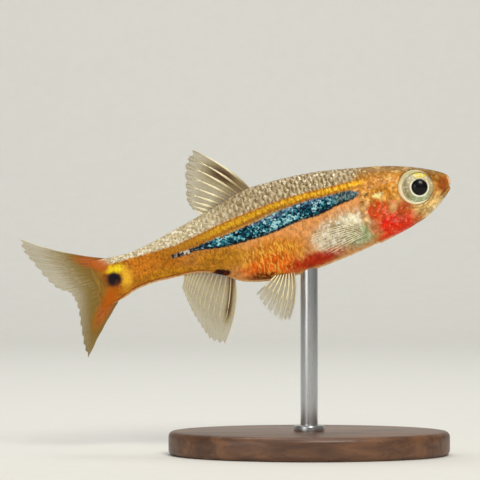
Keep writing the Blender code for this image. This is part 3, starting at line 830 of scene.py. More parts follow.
# %% Features of the head
EYE_U, EYE_V, EYE_RADIUS = 1.7, 0.225, 0.81
RIM_OUT, RIM_SLOPE, SOCKET_FLOOR = 0.72, 1.0, 0.4
MOUTH_END = (0.64, -0.49)
NOSTRIL_U, NOSTRIL_V = 0.68, 0.49
CHEEK_ARC = (2.05, -0.1, 1.32)


def open_socket(u, w, v):
    """Lifts a rim round each eye and sinks the socket inside it."""
    away = np.hypot(u - EYE_U, v - EYE_V)
    out = np.abs(w)
    rim = RIM_OUT - RIM_SLOPE * np.maximum(away - EYE_RADIUS - 0.03, 0.0)
    lift = np.maximum(rim - out, 0.0) * ease(out, 0.25, 0.5) * ease(away, 1.15, 0.95)
    inside = ease(away, EYE_RADIUS + 0.02, EYE_RADIUS - 0.02)
    return np.copysign((out + lift) * (1 - inside) + SOCKET_FLOOR * inside, w)


def head_relief(u, w, v):
    """How far each point is pushed out, and how much painted shade darkens its creases."""
    mouth = bell(line_distance(u, v, MOUTH_TIP, MOUTH_END), 0.042)
    nostril = bell(np.hypot(u - NOSTRIL_U, v - NOSTRIL_V), 0.055)
    nostril_rim = bell(np.hypot(u - NOSTRIL_U, v - NOSTRIL_V) - 0.1, 0.035)
    slit = np.hypot(u - GILL_ARC[0], v - GILL_ARC[1]) - GILL_ARC[2]
    cover = ease(v, 1.0, 0.6) * ease(u, 2.6, 3.2)
    plate = np.where(slit < 0, bell(slit, 0.55), bell(slit, 0.03)) * cover
    gill_groove = bell(slit - 0.06, 0.045) * cover
    cheek = np.hypot(u - CHEEK_ARC[0], v - CHEEK_ARC[1]) - CHEEK_ARC[2]
    cheek_edge = bell(cheek, 0.04) * ease(u, 1.4, 2.0) * ease(v, 0.7, 0.3)
    eye_away = np.hypot(u - EYE_U, v - EYE_V) - EYE_RADIUS
    under_eye = bell(eye_away - 0.16, 0.05) * ease(v, 0.0, -0.35)
    push = (
        0.045 * plate - 0.015 * gill_groove - 0.12 * mouth - 0.1 * nostril
        + 0.02 * nostril_rim - 0.018 * cheek_edge - 0.025 * under_eye
    )
    # Painted shade: the mouth's line, the nostrils, the gill groove, the cheek's edge, the line
    # under the eye and the socket's lower front edge are darkened
    socket_line = bell(eye_away - 0.02, 0.03) * ease(v, 0.4, -0.3) * ease(u, 2.4, 1.9)
    dark = np.maximum.reduce([
        0.45 * mouth, nostril, 0.15 * gill_groove, 0.15 * cheek_edge, 0.6 * under_eye,
        0.4 * socket_line,
    ])
    return push, np.clip(dark, 0.0, 1.0)


print("gill cover's rear edge, mm behind the snout:", GILL_ARC[0] + GILL_ARC[2])

# %% Lay the skin
def make_skin():
    """The whole body's skin, in one closed surface."""
    bm = new_form()
    last = len(rings) - 1
    verts, down, angle = sphere_form(bm, AROUND, last)
    ring = np.rint(down * last).astype(int)
    column = np.rint(angle / (2 * math.pi) * AROUND) % AROUND
    u, w, v = body_point(rings[ring], 2 * column / AROUND - 1)
    pole = (ring == 0) | (ring == last)
    w = np.where(pole, 0.0, w)
    v = np.where(pole, section(rings[ring])[0], v)
    w = open_socket(u, w, v)
    push, dark = head_relief(u, w, v)
    # dark is the painted shade in the head's creases, stored with the skin's fields
    lay(bm, verts, u, w, v, markings(u, w, v, dark))
    face_outward(bm)
    for vert, out in zip(verts, push):
        vert.co += vert.normal * float(out)
    uv = bm.loops.layers.uv.new("OFBake")
    spot = {vert: (r / last, c / AROUND) for vert, r, c in zip(verts, ring, column)}
    for face in bm.faces:
        wraps = max(spot[vert][1] for vert in face.verts) > 0.9
        for loop in face.loops:
            across, round_it = spot[loop.vert]
            loop[uv].uv = (across, round_it + 1.0 * (wraps and round_it < 0.1))
    nodes = ("head", "trunk", "tail_stalk", "gill_cover_right", "gill_cover_left")
    finish_piece("skin", bm, skin_material, "skin", *nodes)


make_skin()

# %% [markdown]
# ## Scales
# The fish wears about thirty scales along its side in some nine rows, and each one's free
# rear edge covers the front of the next. A bump map could hint at them, but then the
# outline and the glints would stay smooth. So each scale is a thin closed plate of a few
# dozen faces, bent to the body where it sits. Every second column is set half a row lower.

# %% Scales over the body
SCALE_PITCH, SCALE_ROWS = 0.35, 22
SCALE_LONG, SCALE_WIDE = 0.54, 1.16
SCALE_THICK, SCALE_FRONT, SCALE_SIDE = 0.005, -0.012, 0.01
REAR_ON_BACK, REAR_ON_FLANK = 0.01, 0.0012
SCALES_FROM, SCALES_TO, NAPE_LEVEL, GILL_ROOM = 3.45, 16.2, 1.2, 0.3
STRAY_U, STRAY_TURN = 0.018, 0.004
PATCH_SIZE = 0.003


def body_normal(u, turn):
    """The plain body's outward direction, from its slopes both ways."""
    def spot(more_u, more_turn):
        return np.stack(body_point(u + more_u, turn + more_turn), -1)

    small_u, small_turn = 0.01, 0.004
    ahead = spot(small_u, 0.0) - spot(-small_u, 0.0)
    aside = spot(0.0, small_turn) - spot(0.0, -small_turn)
    normal = np.cross(ahead, aside)
    w, v = body_point(u, turn)[1:]
    outward = np.stack([0.0 * u, w, v - section(u)[0]], -1)
    normal *= np.sign((normal * outward).sum(-1, keepdims=True))
    return normal / np.linalg.norm(normal, axis=-1, keepdims=True)


def scale_seats():
    """(u, turn, luck) of every scale's middle, behind the gill slit and the nape."""
    rng = np.random.default_rng(5)
    seats = []
    columns = int((SCALES_TO - SCALES_FROM) / (SCALE_PITCH / 2))
    for column in range(columns):
        for row in range(SCALE_ROWS):
            u = SCALES_FROM + column * SCALE_PITCH / 2 + rng.normal(0.0, STRAY_U)
            turn = ((row + 0.5 * (column % 2)) * 2 / SCALE_ROWS + 1) % 2 - 1
            turn += rng.normal(0.0, STRAY_TURN)
            luck = rng.random()
            level_v = body_point(np.array([u]), np.array([turn]))[2][0]
            from_arc = math.hypot(u - GILL_ARC[0], level_v - GILL_ARC[1])
            if from_arc > GILL_ARC[2] + GILL_ROOM or level_v > NAPE_LEVEL:
                seats.append((u, turn, luck))
    return seats


def make_scales():
    """All scales in one piece, each with its own small patch for the bake."""
    bm = new_form()
    plate = bm.verts.layers.float_vector["plate"]
    seat = bm.verts.layers.float_vector.new("seat")
    seats = scale_seats()
    for u, turn, luck in seats:
        made = bmesh.ops.create_grid(bm, x_segments=4, y_segments=4, size=1.0)
        for vert in made["verts"]:
            vert[plate] = (vert.co.x, vert.co.y, luck)
            vert[seat] = (u, turn, 0.0)
    made = bmesh.ops.extrude_face_region(bm, geom=bm.faces[:], use_keep_orig=True)
    under = {item for item in made["geom"] if isinstance(item, bmesh.types.BMVert)}
    verts = list(bm.verts)
    x, y, luck = np.array([vert[plate] for vert in verts]).T
    seat_u, seat_turn, _ = np.array([vert[seat] for vert in verts]).T
    lower = np.array([vert in under for vert in verts])
    reach = SCALE_LONG / 2 * x * (1 - 0.18 * y**2 * (x > 0)) * (1 - 0.12 * y**2)
    wide = SCALE_WIDE / SCALE_ROWS * y * (1 - 0.25 * np.maximum(x, 0) ** 3)
    u = np.clip(seat_u + reach, 0.5, LENGTH)
    turn = seat_turn + wide
    rear = REAR_ON_FLANK + (REAR_ON_BACK - REAR_ON_FLANK) * ease(np.abs(seat_turn), 0.36, 0.28)
    rear *= ease(seat_u, SCALES_FROM - 0.1, SCALES_FROM + 0.6)
    high = SCALE_FRONT + (rear - SCALE_FRONT) * (x + 1) / 2
    high -= SCALE_SIDE * rear / REAR_ON_BACK * y**2
    high += 0.4 * rear * (luck - 0.5) * (x + 1) - SCALE_THICK * lower
    points = np.stack(body_point(u, turn), -1) + body_normal(u, turn) * high[:, None]
    lay(bm, verts, *points.T, markings(*points.T))
    uv = bm.loops.layers.uv.new("OFBake")
    for face in bm.faces:
        for loop in face.loops:
            a, b, _ = loop.vert[plate]
            root_u, root_turn, _ = loop.vert[seat]
            loop[uv].uv = (
                root_u / LENGTH + a * PATCH_SIZE / 2, (root_turn + 1) / 2 + b * PATCH_SIZE / 2,
            )
    bm.verts.layers.float_vector.remove(seat)
    print("scales:", len(seats))
    finish_piece("scales", bm, skin_material, "skin")


make_scales()

# %% [markdown]
# ## Eyes
# The eye is the largest thing on the head. A thick cream ring holds a pale green iris with a
# yellow crescent at its top, and the lens bulges out of a black pupil that sits a little
# forward of the middle. A painted ball would look flat in side light, so a sphere's rings
# are laid along a profile of its own: ring, groove, iris and the raised edge of the pupil.

# %% Eye material
CRESCENT = ((1.38, 0.74), (0.33, 0.14), 16, 0.35)


def make_eye_material():
    """Iris and outer ring, painted by the distance and direction from the pupil."""
    material, wire = start_material("eye")
    across, up, ring = parts(field(wire, "plate"))
    fish = field(wire, "fish")
    grain = cloud(fish, 0.05, 3.0)
    flecks = cells(fish, 0.06)
    away = ring + (grain - 0.5) * 0.03
    arcs = rise(abs(away - 0.52 + grain * 0.05), 0.03, 0.0) * rise(up, 0.2, -0.1)
    bright_edge = rise(abs(away - 0.415), 0.04, 0.015) * rise(up - across * 0.5, 0.5, 0.1)
    iris = coats(
        mixed(rise(up, 0.1, -0.4), (0.76, 0.73, 0.6), (0.7, 0.75, 0.58)),
        (rise(across, -0.1, -0.5) * 0.8, (0.76, 0.68, 0.5)),
        (rise(across, 0.38, 0.55) * 0.7, (0.58, 0.52, 0.35)),
        (arcs * 0.5, (0.45, 0.46, 0.3)),
        (oval(fish, *CRESCENT), (0.92, 0.82, 0.25)),
        (rise(flecks, 0.75, 0.9) * 0.6, (0.93, 0.93, 0.84)),
        (rise(flecks, 0.2, 0.1) * 0.35, (0.48, 0.46, 0.33)),
        (bright_edge, (0.95, 0.94, 0.85)),
    )
    outer = coats(
        mixed(grain, (0.9, 0.86, 0.68), (1.0, 0.96, 0.84)),
        (rise(up, 0.2, 0.65) * 0.6, (0.66, 0.62, 0.4)),
        (rise(across, -0.1, -0.6) * 0.7, (0.74, 0.58, 0.34)),
    )
    behind = rise(across, -0.1, 0.4)
    groove = rise(abs(away - 0.66), 0.022, 0.006) * (0.85 - rise(across, 0.0, 0.6) * 0.5)
    # Painted shade: a dark line along the ball's front edge, where it meets the socket
    front_rim_shade = rise(away, 0.785, 0.81) * rise(across, 0.3, -0.2)
    colour = coats(
        mixed(rise(away - behind * 0.055, 0.65, 0.68), iris, outer),
        (groove, (0.3, 0.28, 0.14)),
        (front_rim_shade * 0.6, (0.42, 0.32, 0.16)),
        (rise(away, 0.375, 0.36), PUPIL_BLACK),
    )
    return finish_material(material, wire, Base_Color=colour, Roughness=0.3 + grain * 0.1,
                           Specular_IOR_Level=0.1, Coat_Weight=0.3, Coat_Roughness=0.03)


eye_material = make_eye_material()

# %% Eye shape
IRIS_U, IRIS_V, PUPIL_U, PUPIL_V = 1.56, 0.19, 1.53, 0.17
# The eye's profile from its back to its front: radius and how far out from the middle plane
EYE_PROFILE = (
    (0.0, 0.46), (0.45, 0.46), (0.77, 0.5), (0.812, 0.58), (0.82, 0.68), (0.805, 0.76),
    (0.765, 0.79), (0.7, 0.79), (0.665, 0.765), (0.64, 0.78), (0.56, 0.85), (0.47, 0.9),
    (0.42, 0.925), (0.39, 0.925), (0.365, 0.9), (0.35, 0.91), (0.3, 0.955), (0.2, 1.0),
    (0.1, 1.02), (0.0, 1.025),
)
EYE_SIDES, EYE_RINGS, EYE_FRONT_FROM = 96, 76, 0.6


def make_eye(name, side, node):
    """One eyeball, whose rings slide forward from the socket's middle to the pupil's."""
    bm = new_form()
    verts, down, angle = sphere_form(bm, EYE_SIDES, EYE_RINGS)
    share = down * (len(EYE_PROFILE) - 1)
    radius, out = (np.interp(share, range(len(EYE_PROFILE)), row) for row in zip(*EYE_PROFILE))
    front = out > EYE_FRONT_FROM
    to_iris = ease(radius, EYE_RADIUS, 0.66) * front
    to_pupil = ease(radius, 0.6, 0.4) * front
    middle_u = EYE_U + (IRIS_U - EYE_U) * to_iris + (PUPIL_U - IRIS_U) * to_pupil
    middle_v = EYE_V + (IRIS_V - EYE_V) * to_iris + (PUPIL_V - IRIS_V) * to_pupil
    across, up = radius * np.cos(angle), radius * np.sin(angle)
    u, v = middle_u + across, middle_v + up
    fields = {
        "fish": np.stack([u, 0.0 * u, v], -1),
        "plate": np.stack([across, up, radius], -1),
    }
    lay(bm, verts, u, side * out, v, fields)
    finish_piece(name, bm, eye_material, "eye", node)


SIDES = (("right", -1), ("left", 1))
for word, side in SIDES:
    make_eye("eyeball_" + word, side, "eye_" + word)

# %% [markdown]
# ## Fins
# A fin is a clear film stretched over bony rays. Each ray leaves the body thick, then splits
# in two and in two again towards the edge. The film is a grid laid over the fan and given a
# little thickness; the rays are thin closed tubes, each a sphere drawn out along its path,
# because tubes catch the light as the real rays do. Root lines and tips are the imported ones.

# %% Fan of a fin
def between(ends, share):
    """The value at a share of the way from one end to the other."""
    return ends[0] + share * (ends[1] - ends[0])


def along(points, share):
    """The place at a share from 0 to 1 of a smooth curve through a few (u, v) points."""
    spots = np.linspace(0.0, 1.0, len(points))
    return [
        smooth_value([(spot * spot, value) for spot, value in zip(spots, values)], share * share)
        for values in zip(*points)
    ]


def fan_point(root, tip, bow, b):
    """A place on a ray in side view, bowed sideways by a share of the ray's length."""
    reach_u, reach_v = tip[0] - root[0], tip[1] - root[1]
    swell = bow * 4 * b * (1 - b)
    return root[0] + reach_u * b - reach_v * swell, root[1] + reach_v * b + reach_u * swell


print("middle of a ray 2 mm high, bowed by 5%:", fan_point((0.0, 0.0), (0.0, 2.0), 0.05, 0.5))

# %% Fin materials
def tail_stub(u, v):
    """1 on the fleshy stub of the tail fin, fading out towards the clear film."""
    return rise(u, 15.0, 16.0) * rise(u - abs(v) * 0.3, 18.5, 16.7)


def make_membrane_material():
    """The clear film: olive, cloudier and warmer near the body."""
    material, wire = start_material("fin_membrane")
    fish = field(wire, "fish")
    u, _, v = parts(fish)
    _, along_ray, darkness = parts(field(wire, "plate"))
    stub = tail_stub(u, v)
    olive = coats(
        mixed(rise(cloud(fish, 0.25, 3.0), 0.35, 0.65), FIN_OLIVE, (0.62, 0.52, 0.2)),
        (rise(along_ray, 0.3, 0.05), FIN_ROOT),
        (rise(darkness, 0.1, 0.8), FIN_DARK),
        (stub * 0.8, FIN_ROOT),
    )
    upper, lower = (oval(fish, *patch[:4]) for patch in LOBE_PATCHES)
    warm = upper + lower
    fleck = warm * rise(cells(fish, 0.08), 0.45, 0.1)
    colour = coats(patched(olive, fish, LOBE_PATCHES), (fleck * 0.5, FLECK_BROWN))
    alpha = (
        0.38 + rise(along_ray, 0.4, 0.05) * 0.15 + darkness * 0.55 + warm * 0.35 + stub * 0.6
        - rise(along_ray, 0.55, 0.95) * 0.12
    )
    return finish_material(material, wire, Base_Color=colour, Roughness=0.4, Alpha=alpha,
                           Specular_IOR_Level=0.2)


def make_ray_material():
    """Bony rays: cream, dimmer at root and tip, jointed along their length."""
    material, wire = start_material("fin_rays")
    fish = field(wire, "fish")
    u, _, v = parts(fish)
    brightness = parts(field(wire, "plate"))[2]
    grain = cloud(fish, 0.08)
    dull = mixed(grain, (0.54, 0.46, 0.24), (0.66, 0.58, 0.38))
    bright = mixed(grain, (0.9, 0.85, 0.64), (0.98, 0.95, 0.84))
    colour = coats(dull, (brightness, bright), (tail_stub(u, v) * 0.9, FIN_ROOT))
    return finish_material(material, wire, Base_Color=patched(colour, fish, LOBE_PATCHES),
                           Roughness=0.28 + grain * 0.1, Coat_Weight=0.4)


membrane_material = make_membrane_material()
ray_material = make_ray_material()

# %% Film and rays
FILM_HALF = 0.009
RAY_SIDES, STEPS_PER_RAY = 8, 26
FORK_TIGHT, FORK_LAP, FORK_STRAY, FORK_THINNER = 0.8, 0.05, 0.03, 0.62


def make_film(name, columns, rows, centre, darkness, *nodes):
    """The film of one fin. centre(a, b) gives (u, w, v) by ray share and length share."""
    bm = new_form()
    bmesh.ops.create_grid(bm, x_segments=columns, y_segments=rows, size=0.5)
    near = list(bm.verts)
    made = bmesh.ops.extrude_face_region(bm, geom=bm.faces[:], use_keep_orig=True)
    far = [item for item in made["geom"] if isinstance(item, bmesh.types.BMVert)]
    for verts, side in ((near, 1), (far, -1)):
        co = np.array([vert.co for vert in verts])
        a, b = co[:, 0] + 0.5, co[:, 1] + 0.5
        u, w, v = centre(a, b)
        fields = {
            "fish": np.stack(np.broadcast_arrays(u, w, v), -1),
            "plate": np.stack([a, b, darkness(a, b)], -1),
        }
        lay(bm, verts, u, w + side * FILM_HALF, v, fields)
    finish_piece(name, bm, membrane_material, "fin", *nodes)


def tube(bm, path, radii, brightness):
    """One closed tapering tube along a path of (u, w, v) points."""
    last = len(path) - 1
    verts, down, angle = sphere_form(bm, RAY_SIDES, last)
    step = np.rint(down * last).astype(int)
    ahead = np.gradient(path, axis=0)
    ahead /= np.linalg.norm(ahead, axis=1, keepdims=True)
    aside = np.cross(ahead, (0.0, 1.0, 0.0))
    aside /= np.linalg.norm(aside, axis=1, keepdims=True)
    outward = np.cross(aside, ahead)
    wide = np.where((step == 0) | (step == last), 0.0, radii[step])[:, None]
    around = np.cos(angle)[:, None] * aside[step] + np.sin(angle)[:, None] * outward[step]
    points = path[step] + wide * around
    glow = brightness[step]
    fields = {"fish": points, "plate": np.stack([0.0 * glow, step / last, glow], -1)}
    lay(bm, verts, *points.T, fields)


def ray_spans(a, spread, forks):
    """The lengths of one branching ray: (share at its start, at its end, start b, end b)."""
    spans = [(a, a, 0.0, forks[0] if forks else 1.0)]
    tips = [a]
    for level, fork in enumerate(forks):
        end = forks[level + 1] if level + 1 < len(forks) else 1.0
        width = spread * FORK_TIGHT * 0.5 ** (level + 1)
        spans += [(tip, tip + width * way, fork, end) for tip in tips for way in (-1, 1)]
        tips = [tip + width * way for tip in tips for way in (-1, 1)]
    return spans


def make_rays(name, rays, centre, thick, forks, glow, single=()):
    """The branching rays of one fin. glow(a, b) says how bright a ray is."""
    bm = new_form()
    rng = np.random.default_rng(11)
    spread = 0.5 / (rays - 1)
    for ray in range(rays):
        a = ray / (rays - 1)
        own_forks = () if ray in single else [fork + rng.normal(0.0, FORK_STRAY) for fork in forks]
        for start_a, end_a, start_b, end_b in ray_spans(a, spread, own_forks):
            steps = max(6, int(STEPS_PER_RAY * (end_b - start_b)))
            lap = FORK_LAP * (start_b > 0)
            share = np.linspace(-lap / (end_b - start_b), 1.0, steps + 1)
            b = start_b + (end_b - start_b) * share
            at = np.clip(start_a + (end_a - start_a) * np.maximum(share, 0.0), 0.0, 1.0)
            path = np.stack(np.broadcast_arrays(*centre(at, b)), -1)
            split = sum(start_b >= fork - 1e-9 for fork in own_forks)
            joints = 1 + 0.07 * np.cos(b * 90 + 40 * at)
            taper = (0.6 + 0.4 * bell(b - 0.3, 0.25)) * (1 - 0.4 * b)
            tube(bm, path, thick * FORK_THINNER**split * taper * joints, glow(at, b))
    finish_piece(name, bm, ray_material, "fin")


def ragged(centre, rays, depth):
    """The same fan, with its film drawn in a little between the ray tips."""
    def drawn_in(a, b):
        between_rays = np.sin(a * (rays - 1) * math.pi) ** 2
        return centre(a, b * (1 - depth * (0.35 + 0.65 * between_rays)))
    return drawn_in


def evenly(value):
    """A darkness or a glow that is the same all over a fin."""
    return lambda a, b: value + 0.0 * a


def make_fin(name, nodes, centre, grid, rays, rag, thick, forks, dark, glow, single=(), end=""):
    """One fin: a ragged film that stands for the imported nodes, and its branching rays."""
    make_film(name + "_film" + end, *grid, ragged(centre, rays, rag), dark, *nodes)
    make_rays(name + "_rays" + end, rays, centre, thick, forks, glow, single)


print("lengths of a ray that forks twice:", len(ray_spans(0.5, 0.05, (0.5, 0.75))))

# %% Back fin and anal fin
DORSAL_BASE, DORSAL_CURVE = (9.0, 11.35), 0.055
DORSAL_TIPS = ((11.12, 4.72), (11.62, 4.15), (11.86, 3.25), (11.98, 2.57), (11.82, 2.1))
ANAL_BASE, ANAL_CURVE = (10.8, 12.95), -0.075
ANAL_TIPS = (
    (12.15, -4.36), (12.69, -4.01), (12.95, -3.3), (13.15, -2.5), (13.24, -1.85), (13.3, -1.3),
)
ROOT_SINK = 0.12


def dorsal_centre(a, b):
    """The back fin's middle surface."""
    root_u = between(DORSAL_BASE, a)
    root = (root_u, smooth_value(BACK, root_u) - ROOT_SINK)
    u, v = fan_point(root, along(DORSAL_TIPS, a), DORSAL_CURVE * (1 - a), b)
    return u, 0.03 * np.sin(7 * a) * b, v


def anal_centre(a, b):
    """The anal fin's middle surface."""
    root_u = between(ANAL_BASE, a)
    root = (root_u, smooth_value(BELLY, root_u) + ROOT_SINK)
    bow = ANAL_CURVE * (1 - a) ** 3 + 0.075 * np.sin(math.pi * a)
    u, v = fan_point(root, along(ANAL_TIPS, a), bow, b)
    return u, 0.03 * np.sin(6 * a) * b, v


make_fin(
    "dorsal", ("dorsal_fin",), dorsal_centre, grid=(54, 22), rays=9, rag=0.05, thick=0.066,
    forks=(0.68, 0.85), dark=lambda a, b: 0.9 * bell(a - 0.13, 0.15) * bell(b - 0.42, 0.3),
    glow=lambda a, b: 1.2 * ease(b, 0.1, 0.3 + 0.3 * (1 - a)) * ease(b, 0.95, 0.65), single=(0,),
)
make_fin(
    "anal", ("anal_fin",), anal_centre, grid=(60, 22), rays=14, rag=0.06, thick=0.034,
    forks=(0.5, 0.75), dark=lambda a, b: 1.0 * bell(a - 0.07, 0.03) * ease(b, 0.8, 0.5),
    glow=lambda a, b: 0.5 + 0.5 * bell(b - 0.8, 0.3), single=(0,),
)

# %% Tail fin
CAUDAL_ROOT_U, CAUDAL_BASE = 16.3, (0.98, -1.05)
CAUDAL_TIPS = (
    (20.0, 3.02), (20.0, 2.45), (19.7, 1.74), (19.35, 0.95), (18.95, 0.3), (18.45, -0.02),
    (18.28, -0.42), (18.26, -1.0), (18.36, -1.8), (18.46, -2.6), (18.42, -3.24),
)


def caudal_centre(a, b):
    """The tail fin's middle surface, slightly rippled."""
    root = (CAUDAL_ROOT_U, between(CAUDAL_BASE, a))
    bow = -0.04 * ease(a, 0.5, 0.0) + 0.02 * ease(a, 0.5, 1.0)
    u, v = fan_point(root, along(CAUDAL_TIPS, a), bow, b)
    ripple = 0.016 * b * np.sin(22 * b + 31 * a)
    return u + 0.4 * ripple, 0.05 * np.sin(9 * a) * b**2, v + ripple


make_fin(
    "caudal", ("caudal_fin_upper", "caudal_fin_lower"), caudal_centre, grid=(108, 26), rays=19,
    rag=0.05, thick=0.036, forks=(0.35, 0.6, 0.8), dark=evenly(0.0),
    glow=lambda a, b: (0.55 + 0.15 * np.cos(20 * a)) * ease(b, 0.25, 0.75), single=(0, 18),
)

# %% Belly fins and breast fins
PELVIC_BASE, PELVIC_OUT, PELVIC_SPLAY, PELVIC_CURVE = (8.12, 8.92), 0.36, math.radians(20.0), -0.08
PELVIC_TIPS = ((8.97, -4.07), (9.43, -3.9), (9.87, -3.2), (10.08, -2.5))
PECTORAL_ROOT_U, PECTORAL_BASE, PECTORAL_CURVE = 4.5, (-0.7, -1.22), 0.05
PECTORAL_TIPS = ((7.0, -0.62), (7.15, -0.95), (6.85, -1.35), (6.3, -1.62))
PECTORAL_SINK, PECTORAL_OUT = 0.06, 0.75


def pelvic_centre(side):
    """The middle surface of one belly fin, splayed out as it drops."""
    def centre(a, b):
        root_u = between(PELVIC_BASE, a)
        root = (root_u, smooth_value(BELLY, root_u) + 2 * ROOT_SINK)
        u, v = fan_point(root, along(PELVIC_TIPS, a), PELVIC_CURVE * (1 - a), b)
        return u, side * (PELVIC_OUT + (root[1] - v) * math.tan(PELVIC_SPLAY)), v
    return centre


def flank(u, v):
    """How far out the skin lies from the middle plane at (u, v)."""
    middle, above, below, half_width = section(u)
    height = np.where(v > middle, above, below)
    power = np.where(v > middle, smooth_value(SQUARE_ABOVE, u), smooth_value(SQUARE_BELOW, u))
    share = np.minimum(np.abs(v - middle) / height, 1.0)
    return half_width * (1 - share ** (2 / power)) ** (power / 2)


def pectoral_centre(side):
    """The middle surface of one breast fin, swinging away from the flank."""
    def centre(a, b):
        root = (PECTORAL_ROOT_U, between(PECTORAL_BASE, a))
        u, v = fan_point(root, along(PECTORAL_TIPS, a), PECTORAL_CURVE * (1 - a), b)
        return u, side * (flank(root[0], root[1]) - PECTORAL_SINK + PECTORAL_OUT * b**0.8), v
    return centre


for word, side in SIDES:
    make_fin(
        "pelvic", ("pelvic_fin_" + word,), pelvic_centre(side), grid=(40, 18), rays=8, rag=0.1,
        thick=0.04, forks=(0.35, 0.62), dark=evenly(-0.35),
        glow=lambda a, b: (0.4 + 0.8 * ease(a, 0.0, 0.35)) * (0.35 + 0.65 * ease(b, 0.9, 0.5)),
        end="_" + word,
    )
    make_fin(
        "pectoral", ("pectoral_fin_" + word,), pectoral_centre(side), grid=(44, 18), rays=10,
        rag=0.05, thick=0.017, forks=(0.7,), dark=evenly(-0.7), glow=evenly(1.4), end="_" + word,
    )

# %% [markdown]
# ## The stand
# The living fish hangs in water, so the model needs something to carry it: a flat oval of
# oiled walnut and one brushed steel rod that ends inside the belly. Both are turned or
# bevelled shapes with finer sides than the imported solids. A small collar hides the hole
# where the rod enters the wood, as a stand maker would fit it.

# %% Stand materials
def drawn_noise(wire, stretch, scale, detail, distortion=0.0):
    """Noise in the room's coordinates, drawn out along the axes of a small stretch."""
    at = wire.node("TexCoord", None, None, "Object")
    drawn = at.node("Mapping", None, {"Vector": at, "Scale": stretch})
    inputs = {"Vector": drawn, "Scale": scale, "Detail": detail, "Distortion": distortion}
    return drawn.node("TexNoise", None, inputs)


def make_walnut_material():
    """Dark oiled wood, with grain along the base and fine pores."""
    material, wire = start_material("walnut")
    bands = drawn_noise(wire, (0.25, 2.2, 2.2), 900.0, 6.0, 0.6)
    pore = drawn_noise(wire, (0.12, 2.0, 2.0), 6000.0, 2.0)
    colour = mixed(rise(bands, 0.3, 0.7), (0.3, 0.19, 0.12), (0.46, 0.31, 0.2))
    colour = mixed(rise(pore, 0.6, 0.75) * 0.6, colour, (0.17, 0.1, 0.06))
    bump = pore.node("Bump", None, {"Height": pore, "Strength": 0.15, "Distance": BUMP_DEPTH})
    return finish_material(material, wire, Base_Color=colour, Roughness=0.4 + pore * 0.15,
                           Normal=bump, Coat_Weight=0.15)


def make_steel_material():
    """Steel, brushed along the rod."""
    material, wire = start_material("steel")
    brushed = drawn_noise(wire, (1.0, 1.0, 0.03), 30000.0, 3.0)
    colour = mixed(brushed, (0.66, 0.67, 0.68), (0.8, 0.81, 0.82))
    return finish_material(material, wire, Base_Color=colour, Roughness=0.22 + brushed * 0.15,
                           Metallic=1.0)


walnut_material = make_walnut_material()
steel_material = make_steel_material()

# %% Base, rod and collar
BASE_EDGE, ROD_EDGE, COLLAR_EDGE, EDGE_STEPS = 0.25, 0.03, 0.08, 5
BASE_SIDES, ROD_SIDES, COLLAR_SIDES = 128, 48, 64
ROD_IN_BELLY, ROD_IN_BASE = 0.6, 0.3
COLLAR_WIDER, COLLAR_HIGH, COLLAR_IN_BASE = 1.75, 0.28, 0.05
SHARP_FROM = math.radians(40.0)
base_low, base_high = (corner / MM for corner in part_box("stand_base"))


def turned(radius, low, high, middle, sides, edge, stretch=1.0):
    """A round block between two levels, with its rims eased."""
    bm = bmesh.new()
    bmesh.ops.create_cone(bm, cap_ends=True, segments=sides, radius1=radius,
                          radius2=radius, depth=high - low)
    bmesh.ops.scale(bm, vec=(stretch, 1.0, 1.0), verts=bm.verts)
    bmesh.ops.translate(bm, vec=(middle.x, middle.y, (low + high) / 2), verts=bm.verts)
    rims = [rim for rim in bm.edges if abs(rim.verts[0].co.z - rim.verts[1].co.z) < 1e-4]
    bmesh.ops.bevel(bm, geom=rims, offset=edge, affect="EDGES", segments=EDGE_STEPS,
                    profile=0.5, material=-1)
    return bm


def make_stand():
    """The base, the rod and its collar."""
    middle = (base_low + base_high) / 2
    half_long, half_wide = middle.x - base_low.x, middle.y - base_low.y
    at_rod = Vector((ROD_X, 0.0, 0.0))
    radius = (rod_high.y - rod_low.y) / 2 / MM
    oval_base = turned(half_wide, base_low.z, base_high.z, middle, BASE_SIDES, BASE_EDGE,
                       half_long / half_wide)
    rod = turned(radius, base_high.z - ROD_IN_BASE, rod_high.z / MM + ROD_IN_BELLY, at_rod,
                 ROD_SIDES, ROD_EDGE)
    collar = turned(COLLAR_WIDER * radius, base_high.z - COLLAR_IN_BASE,
                    base_high.z + COLLAR_HIGH, at_rod, COLLAR_SIDES, COLLAR_EDGE)
    for piece in (
        finish_piece("base", oval_base, walnut_material, "walnut", "stand_base"),
        finish_piece("rod", rod, steel_material, "steel", "stand_rod"),
        finish_piece("collar", collar, steel_material, "steel"),
    ):
        piece.data.set_sharp_from_angle(angle=SHARP_FROM)


make_stand()

# %% [markdown]
# ## Floor, light and camera
# The studio is plain: a pale floor that curves up behind the fish, a broad soft light above
# and in front, a fill beside the camera, a light above and behind that edges the fins, and
# one turned away from the fish that evens out the wall. A dark set would hide the model's
# outline. The camera looks straight at the fish's right side, and one millimetre of fish is
# as many pixels wide as in the photo.

# %% Floor and backdrop
FLOOR_HALF, FLOOR_NEAR, FLOOR_FAR, CURVE_RADIUS, WALL_HIGH = 0.35, -0.3, 0.13, 0.06, 0.25
BACKDROP_ROWS = 80


